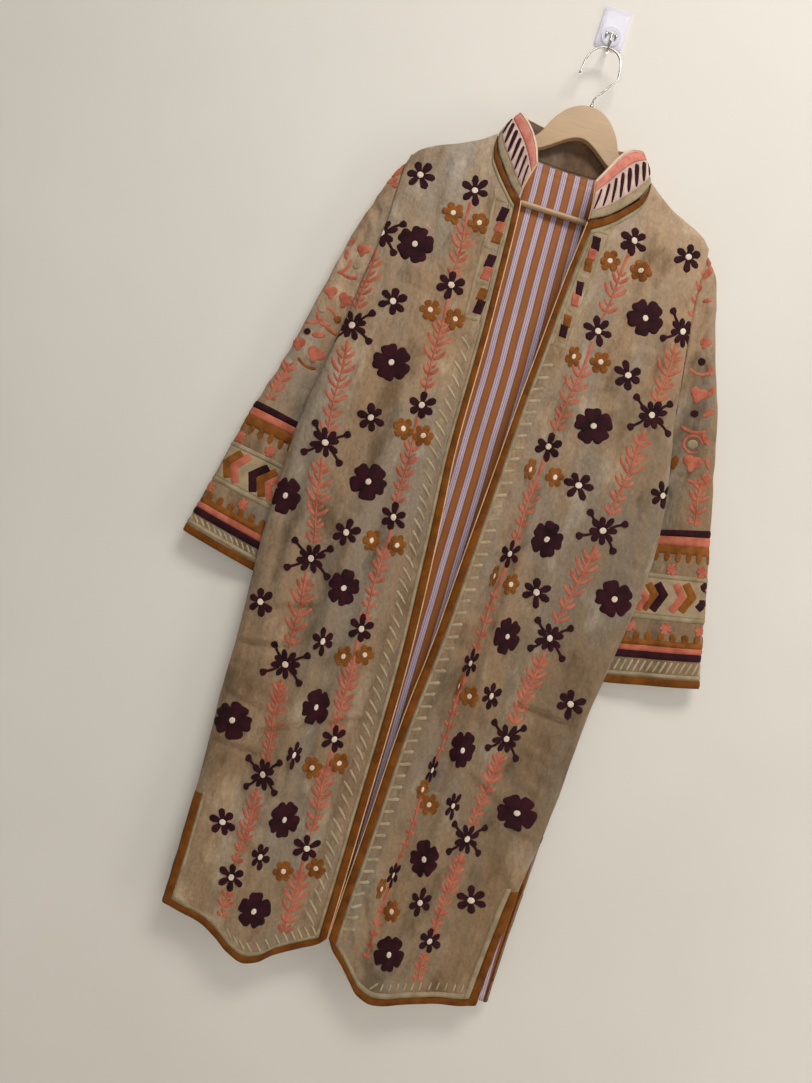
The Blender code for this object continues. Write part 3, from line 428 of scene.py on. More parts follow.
def back_grid():
    lo, hi = -110.0, 112.0
    c, r = 0.5 * (lo + hi), 0.5 * (hi - lo)
    n_edge = len(EDGE_STEPS)
    share = lambda x: (x + 215.0) / 431.0
    neck = [share(c + r * k) for k in (-1.0, -0.975, -0.9, -0.55, -0.18, 0.18, 0.55, 0.9, 0.975, 1.0)]
    tops = [share(-180.0), share(-145.0)] + neck + [share(147.0), share(182.0)]
    lows = [0.125, 0.19, 0.25, 0.31, 0.37, 0.42, 0.475, 0.525, 0.58, 0.63, 0.69, 0.75, 0.81, 0.875]
    ni = n_edge * 2 + len(tops)
    n_low = 14
    nj = 5 + n_low + 2
    P = np.zeros((ni, nj, 3))
    square = np.zeros((ni, nj), bool)
    for i in range(ni):
        left_edge, right_edge = i < n_edge, i >= ni - n_edge
        e = i if left_edge else (ni - 1 - i if right_edge else None)
        m = i - n_edge

        def x_at(z, q_top=1.0):
            xl, xr = float(outline("back_left", z)), float(outline("back_right", z))
            if e is not None:
                d = EDGE_STEPS[e][0] * ROLL_BACK
                if e == 1:
                    d = 1.4 * max(1.0 - q_top, slit_open(z))
                return (xl + d) if left_edge else (xr - d)
            f = tops[m] + (lows[m] - tops[m]) * float(ease((-z - 240.0) / 220.0))
            return xl + (xr - xl) * f

        inner = e is None and 2 < m < len(tops) - 3
        zt = -240.0
        for _ in range(6):
            x = x_at(zt, 0.0)
            s = min(abs((x - c) / r), 1.0)
            zt = -204.8 - 16.6 * (1 - s * s) if inner else float(shoulder_z("left" if x < 0 else "right", x))
        near = min(x - float(outline("back_left", zt)), float(outline("back_right", zt)) - x)
        q_col = 0.0 if e == 0 else (0.24 if e == 1 else float(roll(near / ROLL_BACK)))
        s_top = abs((x - c) / r)
        ds = [0.0, 2.5, 5.5, 10.5, ROLL_TOP] if inner else \
            [0.0, 1.4 * (1 - q_col), 0.09 * ROLL_TOP, 0.42 * ROLL_TOP, ROLL_TOP]
        for j in range(nj):
            if j < 5:
                z = zt - ds[j]
                q_top = float(roll(ds[j] / ROLL_TOP)) if inner or j >= 2 else (0.0, 0.24)[j]
            else:
                q_top = 1.0
                hem = back_hem(x_at(BACK_HEM_Z))
                z0, z1 = zt - ds[4], hem + BRAID_W
                k = j - 4
                z = z0 + (z1 - z0) * k / (n_low + 1) if k <= n_low + 1 else hem
            x = x_at(z, q_top)
            near = min(x - float(outline("back_left", z)), float(outline("back_right", z)) - x)
            q_side = q_col if e in (0, 1) else float(roll(near / ROLL_BACK))
            q_side += (1.0 - q_side) * 0.85 * slit_open(z)
            # soft vertical waves towards the hem, on the side away from the wall
            wave = math.sin(x / 52.0 + 0.4) * float(ease((-z - 420.0) / 700.0))
            flat = float(depth("back", z)) - 0.9 * (1.0 + wave)
            if inner:
                y0 = -24.7 + 11.6 * math.sqrt(max(1 - s_top ** 6, 0.0))
                y = y0 + (flat - y0) * q_top
            else:
                y0 = float(depth("seam_back", z))
                y = y0 + (flat - y0) * q_side * q_top
            P[i, j] = (x, y, z)
            square[i, j] = e == 0 or (j == 0 and not inner)
    return P, square


def sleeve_skin(side, inset):
    """One skin of a sleeve, all of it moved in by inset within its rings."""
    table = SLEEVE_LEFT if side == "left" else SLEEVE_RIGHT
    sgn = -1.0 if side == "left" else 1.0
    n_ring = 20
    rows = [dict(zip(SLEEVE_COLS, r)) for r in table]
    P = np.zeros((n_ring, len(rows), 3))
    outer = np.array([(r["outer_x"], r["outer_z"]) for r in rows])
    inner = np.array([(r["inner_x"], r["inner_z"]) for r in rows])

    def moved_in(path, towards):
        """The edge's path, moved square to itself into the sleeve."""
        t = np.gradient(path, axis=0)
        n = np.stack([t[:, 1], -t[:, 0]], axis=1) / np.linalg.norm(t, axis=1, keepdims=True)
        flip = np.sign(np.sum(n * (towards - path), axis=1, keepdims=True))
        return path + n * flip * inset

    outer_in, inner_in = moved_in(outer, inner), moved_in(inner, outer)
    outer_in[0] = outer[0] + (0.0, -1.6 * inset)
    inner_in[0] = inner[0] + (0.0, 1.0 * inset)
    for j, r in enumerate(rows):
        o, n = outer_in[j], inner_in[j]
        for i in range(n_ring):
            a = 2 * math.pi * i / n_ring
            s = math.sin(a)
            t = 0.5 - 0.5 * np.sign(math.cos(a)) * abs(math.cos(a)) ** 0.85
            x, z = o + (n - o) * t
            yc = r["y_outer"] + (r["y_inner"] - r["y_outer"]) * t
            half = r["half_outer"] + (5.2 - r["half_outer"]) * t - inset
            y = yc - half * np.sign(s) * abs(s) ** 0.62
            edge = float(outline(side + "_side", z))
            if j == 0:
                # the armhole ring follows the body's edge
                x = edge + sgn * (0.5 + 0.7 * t)
            out = sgn * (x - edge)                 # how far outside the body
            if z < -492.0:
                # behind the body below the armhole
                limit = -14.5 - 1.4 * max(out - 4.5, 0.0) + inset
                k = float(ease((-492.0 - z) / 40.0))
                limit = -45.0 + (limit + 45.0) * k
                y = max(y, limit)
            if s > 0 and j > 1:                    # long soft fold down the sleeve
                y += 2.2 * math.exp(-((t - 0.30 - 0.02 * j) / 0.10) ** 2)
            y = min(y, -4.0 - inset)
            P[i, j] = (x, y, z)
    return P


def collar_grid():
    n = 21
    half = len(COLLAR)
    s_half = np.linspace(0.0, 1.0, half)
    P = np.zeros((n, 4, 3))
    for i in range(n):
        s = i / (n - 1) * 2.0
        left = s <= 1.0
        k = s if left else 2.0 - s
        g = lambda name: float(smooth_through(s_half, column(COLLAR, COLLAR_COLS, name), k))
        x0 = g("left_x0") if left else g("right_x0")
        x1 = g("left_x1") if left else g("right_x1")
        low = np.array((x0, g("y0"), g("z0")))
        top = np.array((x1, g("y1"), g("z1")))
        up = (top - low) / np.linalg.norm(top - low)
        low = low + up * 1.1
        for j in range(4):
            f = j / 3.0
            P[i, j] = low + (top - low) * f
            # the band bows out a little between its seam and its free edge
            bow = 1.6 * 4 * f * (1 - f)
            c = np.array((2.0, -28.0, P[i, j, 2]))
            d = P[i, j] - c
            P[i, j] += bow * d / max(np.linalg.norm(d), 1.0)
    return P


def smooth_path(points, step):
    """Points along a smooth curve through the given ones, about a step apart."""
    p = np.array(points, float)
    out = []
    for i in range(len(p) - 1):
        p0 = p[max(i - 1, 0)]
        p1, p2 = p[i], p[i + 1]
        p3 = p[min(i + 2, len(p) - 1)]
        n = max(1, int(np.linalg.norm(p2 - p1) / step))
        for k in range(n):
            t = k / n
            out.append(0.5 * (2 * p1 + (p2 - p0) * t + (2 * p0 - 5 * p1 + 4 * p2 - p3) * t ** 2
                              + (3 * p1 - p0 - 3 * p2 + p3) * t ** 3))
    out.append(p[-1])
    return np.array(out)


# ------------------------------------------------------------------ sizes of the looks, mm
OPENING_BRAID = 9.0      # ochre braid at the opening, hem and slits
PHOTO_EYE = np.array((-61.9, -1150.0, -779.3))   # where the camera stands

# Creases and soft folds, listed one by one: a line from its first to its last end,
# its height (out of the cloth) or depth (negative), and its half width.
CREASE_COLS = ("panel", "x0", "z0", "x1", "z1", "out", "width")
CREASES = [
    # left front: long soft vertical folds
    ("front_left", -128, -520, -122, -1340, 2.4, 17),
    ("front_left", -104, -560, -104, -1180, -1.9, 12),
    ("front_left", -205, -660, -203, -1010, 1.7, 13),
    ("front_left", -226, -690, -222, -900, -1.6, 9),
    ("front_left", -64, -640, -47, -1330, -1.4, 10),
    ("front_left", -150, -245, -146, -360, 1.1, 9),
    ("front_left", -168, -262, -158, -420, -0.9, 12),
    ("front_left", -84, -500, -76, -760, 1.0, 9),
    # and its slanted and level creases
    ("front_left", -152, -898, -214, -926, -1.7, 4.0),
    ("front_left", -150, -890, -212, -917, 1.1, 4.5),
    ("front_left", -228, -930, -247, -934, -1.0, 3.0),
    ("front_left", -160, -964, -246, -979, -1.9, 3.6),
    ("front_left", -165, -957, -244, -971, 1.2, 4.2),
    ("front_left", -240, -1012, -196, -1004, -0.8, 3.5),
    ("front_left", -240, -1050, -176, -1061, -1.3, 3.6),
    ("front_left", -238, -1043, -180, -1053, 0.9, 4.2),
    ("front_left", -176, -1092, -100, -1051, -1.6, 4.2),
    ("front_left", -178, -1083, -98, -1042, 1.2, 4.6),
    ("front_left", -100, -1046, -36, -1019, 1.5, 4.0),
    ("front_left", -96, -1053, -40, -1028, -1.1, 4.0),
    ("front_left", -238, -1117, -160, -1119, -1.6, 3.4),
    ("front_left", -236, -1110, -164, -1112, 1.0, 3.8),
    ("front_left", -238, -1096, -186, -1099, -0.9, 3.2),
    ("front_left", -236, -603, -212, -599, -0.9, 4.0),
    ("front_left", -118, -1014, -92, -994, -0.9, 4.0),
    ("front_left", -205, -474, -162, -448, 0.7, 5.0),
    ("front_left", -128, -1100, -122, -1180, -1.6, 5.0),
    ("front_left", -120, -1190, -118, -1300, 1.2, 7.0),
    ("front_left", -28, -1230, -52, -1330, -1.0, 6.0),
    # right front: folds beside the opening
    ("front_right", 96, -640, 104, -1330, 2.2, 11),
    ("front_right", 63, -700, 62, -1345, -2.2, 9),
    ("front_right", 84, -760, 86, -1110, -0.9, 5),
    ("front_right", 118, -700, 122, -980, -1.2, 10),
    ("front_right", 44, -860, 40, -1240, 1.3, 9),
    ("front_right", 141, -262, 137, -430, 1.6, 8),
    ("front_right", 122, -262, 118, -400, -1.2, 9),
    ("front_right", 78, -300, 76, -560, -0.9, 8),
    ("front_right", 102, -470, 92, -700, 1.2, 8),
    ("front_right", 205, -560, 196, -820, 1.4, 15),
    ("front_right", 170, -880, 166, -1260, -1.2, 14),
    # its chest wrinkles and level creases
    ("front_right", 132, -451, 206, -424, 1.1, 4.0),
    ("front_right", 138, -460, 224, -441, -0.9, 4.0),
    ("front_right", 118, -500, 176, -494, 0.8, 4.5),
    ("front_right", 130, -522, 184, -506, -0.7, 4.0),
    ("front_right", 118, -588, 150, -606, 0.8, 4.5),
    ("front_right", 170, -604, 244, -566, 0.7, 5.0),
    ("front_right", 232, -716, 262, -727, -0.9, 2.8),
    ("front_right", 226, -726, 258, -742, 0.8, 3.0),
    ("front_right", 236, -705, 262, -711, 0.7, 3.0),
    ("front_right", 148, -947, 243, -957, -1.9, 3.4),
    ("front_right", 150, -940, 241, -949, 1.3, 4.0),
    ("front_right", 196, -974, 241, -960, 1.0, 3.0),
    ("front_right", 176, -994, 240, -1003, -0.9, 2.8),
    ("front_right", 168, -1010, 238, -1018, -0.8, 2.6),
    ("front_right", 182, -1023, 238, -1031, 0.8, 2.8),
    ("front_right", 172, -1038, 230, -1044, -0.7, 2.6),
    ("front_right", 108, -1056, 176, -1088, -1.3, 3.8),
    ("front_right", 112, -1049, 178, -1079, 1.0, 4.0),
    ("front_right", 160, -1050, 222, -1062, -0.8, 2.8),
    ("front_right", 190, -1114, 236, -1123, -1.1, 3.0),
    ("front_right", 192, -1107, 234, -1115, 0.8, 3.2),
    ("front_right", 150, -1116, 186, -1104, 0.7, 3.4),
    ("front_right", 22, -1245, 56, -1328, -1.3, 4.2),
    ("front_right", 14, -1262, 44, -1336, 1.1, 4.2),
    ("front_right", 40, -1230, 70, -1350, 0.9, 5.0),
    ("front_right", 56, -1268, 72, -1352, -1.0, 4.0),
    # back: like the fronts, a little calmer
    ("back", -128, -420, -120, -1340, 1.0, 20),
    ("back", -60, -520, -66, -1345, -1.2, 18),
    ("back", 8, -430, 2, -1345, 1.0, 22),
    ("back", 72, -560, 84, -1340, -1.2, 17),
    ("back", 140, -470, 130, -1345, 1.0, 18),
    ("back", -204, -600, -198, -1180, -1.0, 12),
    ("back", 208, -620, 200, -1170, -1.0, 13),
    ("back", -232, -952, -150, -968, -1.0, 3.8),
    ("back", -230, -944, -152, -959, 0.7, 4.2),
    ("back", 160, -984, 236, -972, -1.0, 3.6),
    ("back", 162, -976, 234, -964, 0.7, 4.0),
    ("back", -170, -1084, -96, -1060, -0.9, 4.2),
    ("back", 90, -1048, 168, -1072, -0.9, 4.0),
    ("back", -150, -300, -60, -330, 0.7, 7),
    ("back", 70, -334, 156, -304, 0.7, 7),
    ("back", -60, -262, 64, -262, -0.6, 9),
    # sleeves: a pleat below the shoulder, and the elbow's creases
    ("sleeve_left", -248, -350, -222, -352, -2.6, 5.0),
    ("sleeve_left", -244, -341, -222, -342, 1.8, 6.0),
    ("sleeve_left", -247, -362, -226, -402, 2.2, 5.0),
    ("sleeve_left", -238, -356, -222, -388, -2.6, 4.0),
    ("sleeve_left", -262, -404, -236, -420, -1.5, 4.5),
    ("sleeve_left", -268, -470, -234, -488, 0.9, 5.0),
    ("sleeve_left", -292, -582, -246, -592, -1.8, 4.0),
    ("sleeve_left", -292, -574, -246, -583, 1.1, 5.0),
    ("sleeve_left", -262, -596, -250, -660, -1.4, 7.0),
    ("sleeve_left", -306, -650, -322, -840, 1.0, 12),
    ("sleeve_left", -268, -670, -274, -860, -1.2, 10),
    ("sleeve_right", 226, -338, 243, -352, 2.8, 5.0),
    ("sleeve_right", 243, -348, 240, -382, 3.0, 5.0),
    ("sleeve_right", 240, -380, 226, -428, 2.8, 5.0),
    ("sleeve_right", 250, -372, 234, -434, -2.4, 4.0),
    ("sleeve_right", 262, -446, 238, -462, 0.9, 5.0),
    ("sleeve_right", 300, -566, 262, -584, -1.4, 4.0),
    ("sleeve_right", 302, -557, 264, -574, 1.0, 5.0),
    ("sleeve_right", 306, -590, 290, -640, -0.9, 6.0),
    ("sleeve_right", 336, -660, 352, -830, 1.0, 12),
    ("sleeve_right", 292, -660, 300, -850, -1.2, 10),
]

# Embroidery, as its centres are seen from the camera on the plane y = -45:
# x, z and how much a fold narrows it.
FLOWER_COLS = ("kind", "x", "z", "narrow", "turn")
LEFT_FLOWERS = [
    ("six", -116, -296, 1.0, 20), ("six", -108, -428, 1.0, 4), ("six", -97, -596, 1.0, 12),
    ("six", -88, -753, 0.92, 4), ("six", -84, -911, 0.92, 8), ("six", -74, -1065, 0.85, 14),
    ("six", -65, -1218, 0.95, 10),
    ("ochre", -135, -334, 1.0, 0), ("ochre", -97, -336, 1.0, 20), ("ochre", -125, -469, 1.0, 8),
    ("ochre", -89, -471, 0.95, 30), ("ochre", -112, -634, 0.95, 0), ("ochre", -83, -635, 0.95, 18),
    ("ochre", -107, -792, 0.85, 6), ("ochre", -72, -788, 0.85, 22), ("ochre", -96, -954, 0.85, 12),
    ("ochre", -69, -943, 0.85, 2), ("ochre", -91, -1111, 0.9, 25), ("ochre", -58, -1094, 0.9, 5),
    ("ochre", -86, -1257, 0.95, 15), ("ochre", -45, -1240, 0.95, 0),
    ("big", -172, -390, 1.0, 45), ("big", -154, -553, 1.0, 12), ("big", -135, -717, 1.0, 30),
    ("big", -124, -865, 0.82, 50), ("big", -111, -1031, 0.72, 10), ("big", -106, -1190, 0.78, 34),
    ("big", -108, -1321, 0.86, 60),
    ("six", -193, -298, 1.0, 30), ("six", -177, -473, 1.05, 8), ("six", -158, -633, 1.0, 22),
    ("six", -143, -792, 0.95, 4), ("six", -129, -943, 0.72, 14), ("six", -120, -1102, 0.5, 4),
    ("six", -122, -1248, 0.66, 18),
    ("burst", -219, -390, 1.0, 0), ("burst", -220, -521, 1.0, 6), ("burst", -207, -684, 1.0, -4),
    ("burst", -178, -840, 1.0, 5), ("burst", -168, -988, 0.98, 0), ("burst", -152, -1140, 0.86, 8),
    ("six", -151, -1286, 0.95, 12),
    ("big", -237, -769, 0.82, 20), ("six", -226, -917, 0.95, 16), ("big", -214, -1082, 1.06, 40),
    ("six", -185, -1218, 1.0, 24),
]
RIGHT_FLOWERS = [
    ("six", 111, -296, 1.05, 10), ("six", 101, -428, 1.0, 26), ("six", 84, -598, 0.9, 6),
    ("six", 78, -753, 0.62, 12), ("six", 72, -911, 0.48, 8), ("six", 66, -1065, 0.36, 14),
    ("six", 58, -1217, 0.40, 6),
    ("ochre", 88, -332, 0.95, 10), ("coral_edged", 132, -332, 1.0, 0), ("ochre", 80, -471, 0.7, 18),
    ("ochre", 117, -467, 1.0, 8), ("ochre", 70, -635, 0.55, 0), ("ochre", 105, -635, 0.85, 20),
    ("ochre", 67, -788, 0.36, 4), ("ochre", 92, -792, 0.7, 14), ("ochre", 66, -945, 0.22, 0),
    ("ochre", 84, -954, 0.85, 10), ("ochre", 61, -1094, 0.55, 6), ("ochre", 76, -1111, 0.85, 22),
    ("ochre", 48, -1240, 0.42, 0), ("ochre", 71, -1265, 0.8, 12),
    ("big", 157, -392, 1.0, 20), ("big", 134, -553, 1.02, 0), ("big", 120, -719, 0.86, 44),
    ("big", 108, -861, 0.70, 12), ("big", 97, -1027, 0.66, 36), ("big", 92, -1184, 0.76, 8),
    ("big", 85, -1322, 0.78, 30),
    ("six", 188, -295, 1.0, 2), ("six", 158, -473, 1.05, 18), ("six", 139, -636, 1.05, 30),
    ("six", 128, -792, 1.02, 10), ("six", 112, -945, 0.66, 4), ("six", 107, -1103, 0.55, 20),
    ("six", 104, -1242, 0.75, 8),
    ("burst", 211, -394, 0.9, 0), ("burst", 205, -515, 1.0, 6), ("burst", 189, -685, 1.0, -5),
    ("burst", 164, -846, 0.95, 4), ("burst", 149, -994, 0.88, 0), ("burst", 139, -1140, 0.80, 6),
    ("six", 132, -1288, 0.8, 14),
    ("six", 252, -615, 0.9, 20), ("big", 232, -769, 1.05, 10), ("six", 218, -923, 1.05, 6),
    ("big", 193, -1086, 1.1, 24), ("six", 169, -1218, 1.1, 16),
]
# Leaf sprigs: the stem's top and lower end, where the leaves begin, half width
SPRIG_COLS = ("x0", "z0", "x1", "z1", "leaves_from", "half", "step")
LEFT_SPRIGS = [
    (-116, -312, -109, -412, -346, 15, 15.5), (-107, -444, -98, -580, -484, 15, 15.0),
    (-96, -612, -89, -738, -650, 13, 14.0), (-87, -768, -84, -896, -800, 12, 14.0),
    (-83, -926, -76, -1048, -958, 13, 11.5), (-73, -1080, -66, -1202, -1108, 13, 12.0),
    (-64, -1232, -60, -1334, -1254, 14, 11.5),
    (-219, -410, -221, -500, -428, 15, 15.0), (-219, -542, -209, -664, -556, 17, 15.5),
    (-206, -704, -181, -820, -716, 17, 14.5), (-177, -860, -169, -968, -874, 16, 14.5),
    (-167, -1008, -154, -1120, -1018, 13, 12.0), (-152, -1160, -151, -1272, -1168, 12, 11.5),
    (-150, -1302, -148, -1338, -1306, 11, 11.0),
]
RIGHT_SPRIGS = [
    (110, -314, 102, -412, -346, 15, 16.0), (100, -444, 85, -582, -484, 14, 15.5),
    (83, -614, 79, -740, -650, 11, 14.0), (77, -768, 72, -898, -806, 8, 14.0),
    (71, -926, 67, -1050, -960, 6, 13.0), (65, -1080, 59, -1204, -1116, 5, 12.5),
    (57, -1232, 56, -1336, -1262, 6, 12.0),
    (219, -296, 216, -372, -306, 10, 15.0), (210, -410, 206, -496, -426, 18, 15.0),
    (204, -536, 191, -664, -550, 16, 15.5), (187, -706, 166, -826, -718, 16, 14.5),
    (163, -866, 151, -974, -878, 14, 13.5), (148, -1012, 140, -1120, -1020, 12, 12.0),
    (138, -1160, 133, -1274, -1168, 11, 11.5), (132, -1304, 131, -1340, -1308, 10, 11.0),
]
# Blocks of the placket: centre, height, width, colour
PLACKET_COLS = ("x", "z", "tall", "wide", "colour")
LEFT_PLACKET = [
    (-70, -316, 19, 12.5, "purple"), (-68.8, -332.5, 13, 13, "coral"), (-68, -348, 13.5, 12.5, "ochre"),
    (-67, -381, 16, 13, "purple"), (-66.5, -398.5, 18, 13, "coral"),
    (-64.2, -427.5, 15, 12.5, "ochre"), (-62.6, -445, 17.5, 13, "purple"),
]
RIGHT_PLACKET = [
    (62.5, -315, 17, 12.5, "purple"), (62, -330.5, 13, 12, "coral"), (61.5, -346.5, 14, 11.5, "ochre"),
    (59.8, -380, 17, 10.5, "purple"), (59, -397, 15, 11, "coral"),
    (57.2, -427, 14, 11, "ochre"), (56.5, -442, 14.5, 11.5, "purple"),
]
# Embroidery of the sleeves, seen on the plane y = -35
BLOB_COLS = ("kind", "x", "z", "size", "colour", "turn")
SLEEVE_LEFT_MARKS = [
    ("leaf", -226, -300, 9, "coral", 60), ("leaf", -219, -296, 8, "coral", 100), ("dot", -223, -317, 4.5, "coral", 0),
    ("leaf", -229, -313, 8, "coral", 40),
    ("heart", -238, -418, 10, "coral", 0), ("dot", -240, -438, 5.2, "sage", 0), ("leaf", -256, -410, 7, "coral", 60),
    ("arc", -254, -446, 13, "coral", 60), ("arc", -247, -455, 14, "coral", -8), ("leaf", -258, -428, 7, "coral", 100),
    ("heart", -263, -486, 10, "coral", 10), ("heart", -241, -491, 12, "coral", -14),
    ("dot", -268, -509, 5.6, "sage", 0), ("ring", -259, -518, 12, "coral", 0), ("dot", -243, -517, 5.4, "ochre", 0),
    ("arc", -272, -528, 14, "coral", 30), ("arc", -248, -533, 14, "coral", -20), ("dot", -278, -545, 5.0, "purple", 0),
    ("leaf", -262, -545, 9, "coral", 20), ("heart", -284, -567, 11, "coral", 14), ("heart", -258, -575, 13, "coral", -10),
    ("arc", -266, -589, 14, "ochre", -14),
]
SLEEVE_RIGHT_MARKS = [
    ("leaf", 219, -287, 9, "coral", 100), ("leaf", 223, -303, 10, "coral", 70), ("leaf", 216, -330, 6, "coral", 90),
    ("leaf", 214, -352, 6, "coral", 90), ("leaf", 234, -339, 7, "coral", 30),
    ("heart", 248, -398, 9, "coral", 0), ("dot", 251, -422, 5.8, "purple", 0), ("arc", 252, -438, 15, "coral", 8),
    ("leaf", 266, -430, 8, "coral", 120), ("heart", 260, -470, 13, "coral", 0), ("leaf", 276, -458, 9, "coral", 70),
    ("leaf", 281, -486, 9, "coral", 50), ("dot", 263, -493, 5.6, "purple", 0), ("arc", 268, -516, 17, "coral", 4),
    ("leaf", 288, -522, 9, "coral", 130), ("dot", 273, -534, 7.0, "sage", 0), ("ring", 273, -534, 12, "coral", 0),
    ("heart", 280, -562, 14, "coral", 0), ("leaf", 257, -565, 10, "ochre", 90), ("leaf", 301, -553, 8, "coral", 120),
    ("heart", 306, -575, 8, "coral", 12), ("arc", 292, -582, 12, "coral", 10),
]
SLEEVE_SPRIGS = {
    "left": [(-288, -594, -300, -648, -597, 13, 12.0)],
    "right": [(300, -578, 309, -640, -582, 13, 12.5)],
}
# Bands round the cuffs: where each begins and ends on the sleeve's outer edge
BAND_COLS = ("colour", "left_top", "left_low", "right_top", "right_low")
BANDS = [
    ("purple", -654.6, -664.4, -638.0, -647.8), ("coral", -664.6, -675.4, -648.0, -660.8),
    ("ochre", -675.6, -689.0, -661.0, -672.5), ("sage", -718.0, -724.4, -702.2, -708.8),
    ("sage", -771.0, -777.4, -758.0, -764.2), ("ochre", -803.0, -811.2, -791.0, -798.8),
    ("coral", -811.4, -819.8, -799.0, -806.6), ("purple", -820.0, -829.4, -806.8, -816.4),
    ("sage", -839.4, -844.6, -835.0, -840.0),
]
# Chevrons: colour, width, and three points, seen on the plane y = -20
CHEVRONS = {
    "left": [
        ("ochre", 12.5, (-316, -730.5), (-333, -749), (-325.5, -769.5)),
        ("coral", 12.0, (-304, -732), (-321, -750.5), (-313.5, -773.5)),
        ("purple", 12.5, (-275, -739), (-293.5, -755), (-286, -778)),
        ("ochre", 12.0, (-262.5, -741), (-281, -758), (-272.5, -780.5)),
        ("coral", 11.5, (-250.5, -745), (-268.5, -761.5), (-260, -783)),
        ("ochre", 12.0, (-222, -751), (-239, -768), (-231, -790)),
        ("coral", 11.5, (-210, -754), (-227, -771), (-219, -793)),
    ],
    "right": [
        ("coral", 11.0, (264, -742), (281.5, -753), (273, -773)),
        ("ochre", 12.0, (277, -733.5), (290, -745.5), (281, -770)),
        ("purple", 12.5, (289, -729.5), (302, -742), (293, -768)),
        ("coral", 12.0, (314, -722.5), (328, -738.5), (319, -762)),
        ("ochre", 12.5, (327, -718.5), (341, -733.5), (331.5, -758)),
        ("ochre", 12.0, (236, -747), (250, -760), (242, -781)),
        ("purple", 12.5, (349, -712), (358, -716), (353, -722)),
        ("purple", 12.5, (353, -748), (358, -739), (356, -733)),
    ],
}

# Colours as they look, 0 to 255, made linear below
THREADS = {
    "purple": ((54, 14, 24), (30, 7, 12)),
    "ochre": ((144, 86, 33), (104, 58, 16)),
    "coral": ((192, 110, 85), (158, 80, 60)),
    "sage": ((166, 148, 118), (138, 120, 92)),
    "moss": ((170, 148, 118), (146, 124, 96)),
    "tick": ((182, 165, 134), (152, 134, 104)),
    "cream": ((236, 220, 200), (212, 190, 168)),
    "blush": ((208, 178, 166), (184, 152, 142)),
    "rose": ((216, 136, 118), (186, 108, 92)),
}


def lin(rgb, gain=1.0):
    """Linear colour of an 8-bit one."""
    out = []
    for c in rgb:
        c = c / 255.0
        out.append(min((c / 12.92 if c <= 0.04045 else ((c + 0.055) / 1.055) ** 2.4) * gain, 1.0))
    return (*out, 1.0)


# ------------------------------------------------------------------ materials
class Shader:
    """A Principled material and short ways to add and join its nodes."""

    def __init__(self, name, rough=0.8, metallic=0.0, **sockets):
        self.m = bpy.data.materials.new(name)
        self.m.use_nodes = True
        self.tree = self.m.node_tree
        self.bsdf = self.tree.nodes["Principled BSDF"]
        self.out = self.tree.nodes["Material Output"]
        self.bsdf.inputs["Roughness"].default_value = rough
        self.bsdf.inputs["Metallic"].default_value = metallic
        for k, v in sockets.items():
            self.bsdf.inputs[k.replace("_", " ")].default_value = v

    def add(self, kind, **inputs):
        n = self.tree.nodes.new("ShaderNode" + kind)
        for k, v in inputs.items():
            key = k.replace("_", " ")
            if key in n.inputs:
                if isinstance(v, bpy.types.NodeSocket):
                    self.tree.links.new(v, n.inputs[key])
                else:
                    n.inputs[key].default_value = v
            else:
                setattr(n, k, v)
        return n

    def join(self, a, b):
        self.tree.links.new(a, b)

    def place(self, scale, coord="Object"):
        tc = self.add("TexCoord")
        mp = self.add("Mapping", Vector=tc.outputs[coord], Scale=scale)
        return mp.outputs["Vector"]

    def noise(self, scale, stretch=(1, 1, 1), detail=3.0, rough=0.55, coord="Object"):
        n = self.add("TexNoise", Vector=self.place(stretch, coord), Scale=scale, Detail=detail, Roughness=rough)
        return n.outputs["Fac"]

    def ramp(self, fac, stops):
        r = self.add("ValToRGB", Fac=fac)
        e = r.color_ramp.elements
        while len(e) < len(stops):
            e.new(0.5)
        for q, (p, c) in zip(e, stops):
            q.position = p
            q.color = c
        return r.outputs["Color"]

    def mix(self, fac, a, b, blend="MIX"):
        n = self.tree.nodes.new("ShaderNodeMix")
        n.data_type = "RGBA"
        n.blend_type = blend
        for key, v in ((0, fac), (6, a), (7, b)):
            if isinstance(v, bpy.types.NodeSocket):
                self.tree.links.new(v, n.inputs[key])
            else:
                n.inputs[key].default_value = v
        return n.outputs[2]

    def math(self, op, a, b=0.0, c=0.0, clamp=False):
        n = self.tree.nodes.new("ShaderNodeMath")
        n.operation = op
        n.use_clamp = clamp
        for k, v in enumerate((a, b, c)):
            if isinstance(v, bpy.types.NodeSocket):
                self.tree.links.new(v, n.inputs[k])
            else:
                n.inputs[k].default_value = v
        return n.outputs[0]

    def bump(self, height, strength, distance, under=None):
        n = self.add("Bump", Height=height, Strength=strength, Distance=distance)
        if under is not None:
            self.join(under, n.inputs["Normal"])
        return n.outputs["Normal"]

    def finish(self, colour=None, normal=None, rough=None):
        if colour is not None:
            self.join(colour, self.bsdf.inputs["Base Color"])
        if normal is not None:
            self.join(normal, self.bsdf.inputs["Normal"])
        if rough is not None:
            self.join(rough, self.bsdf.inputs["Roughness"])
        return self.m


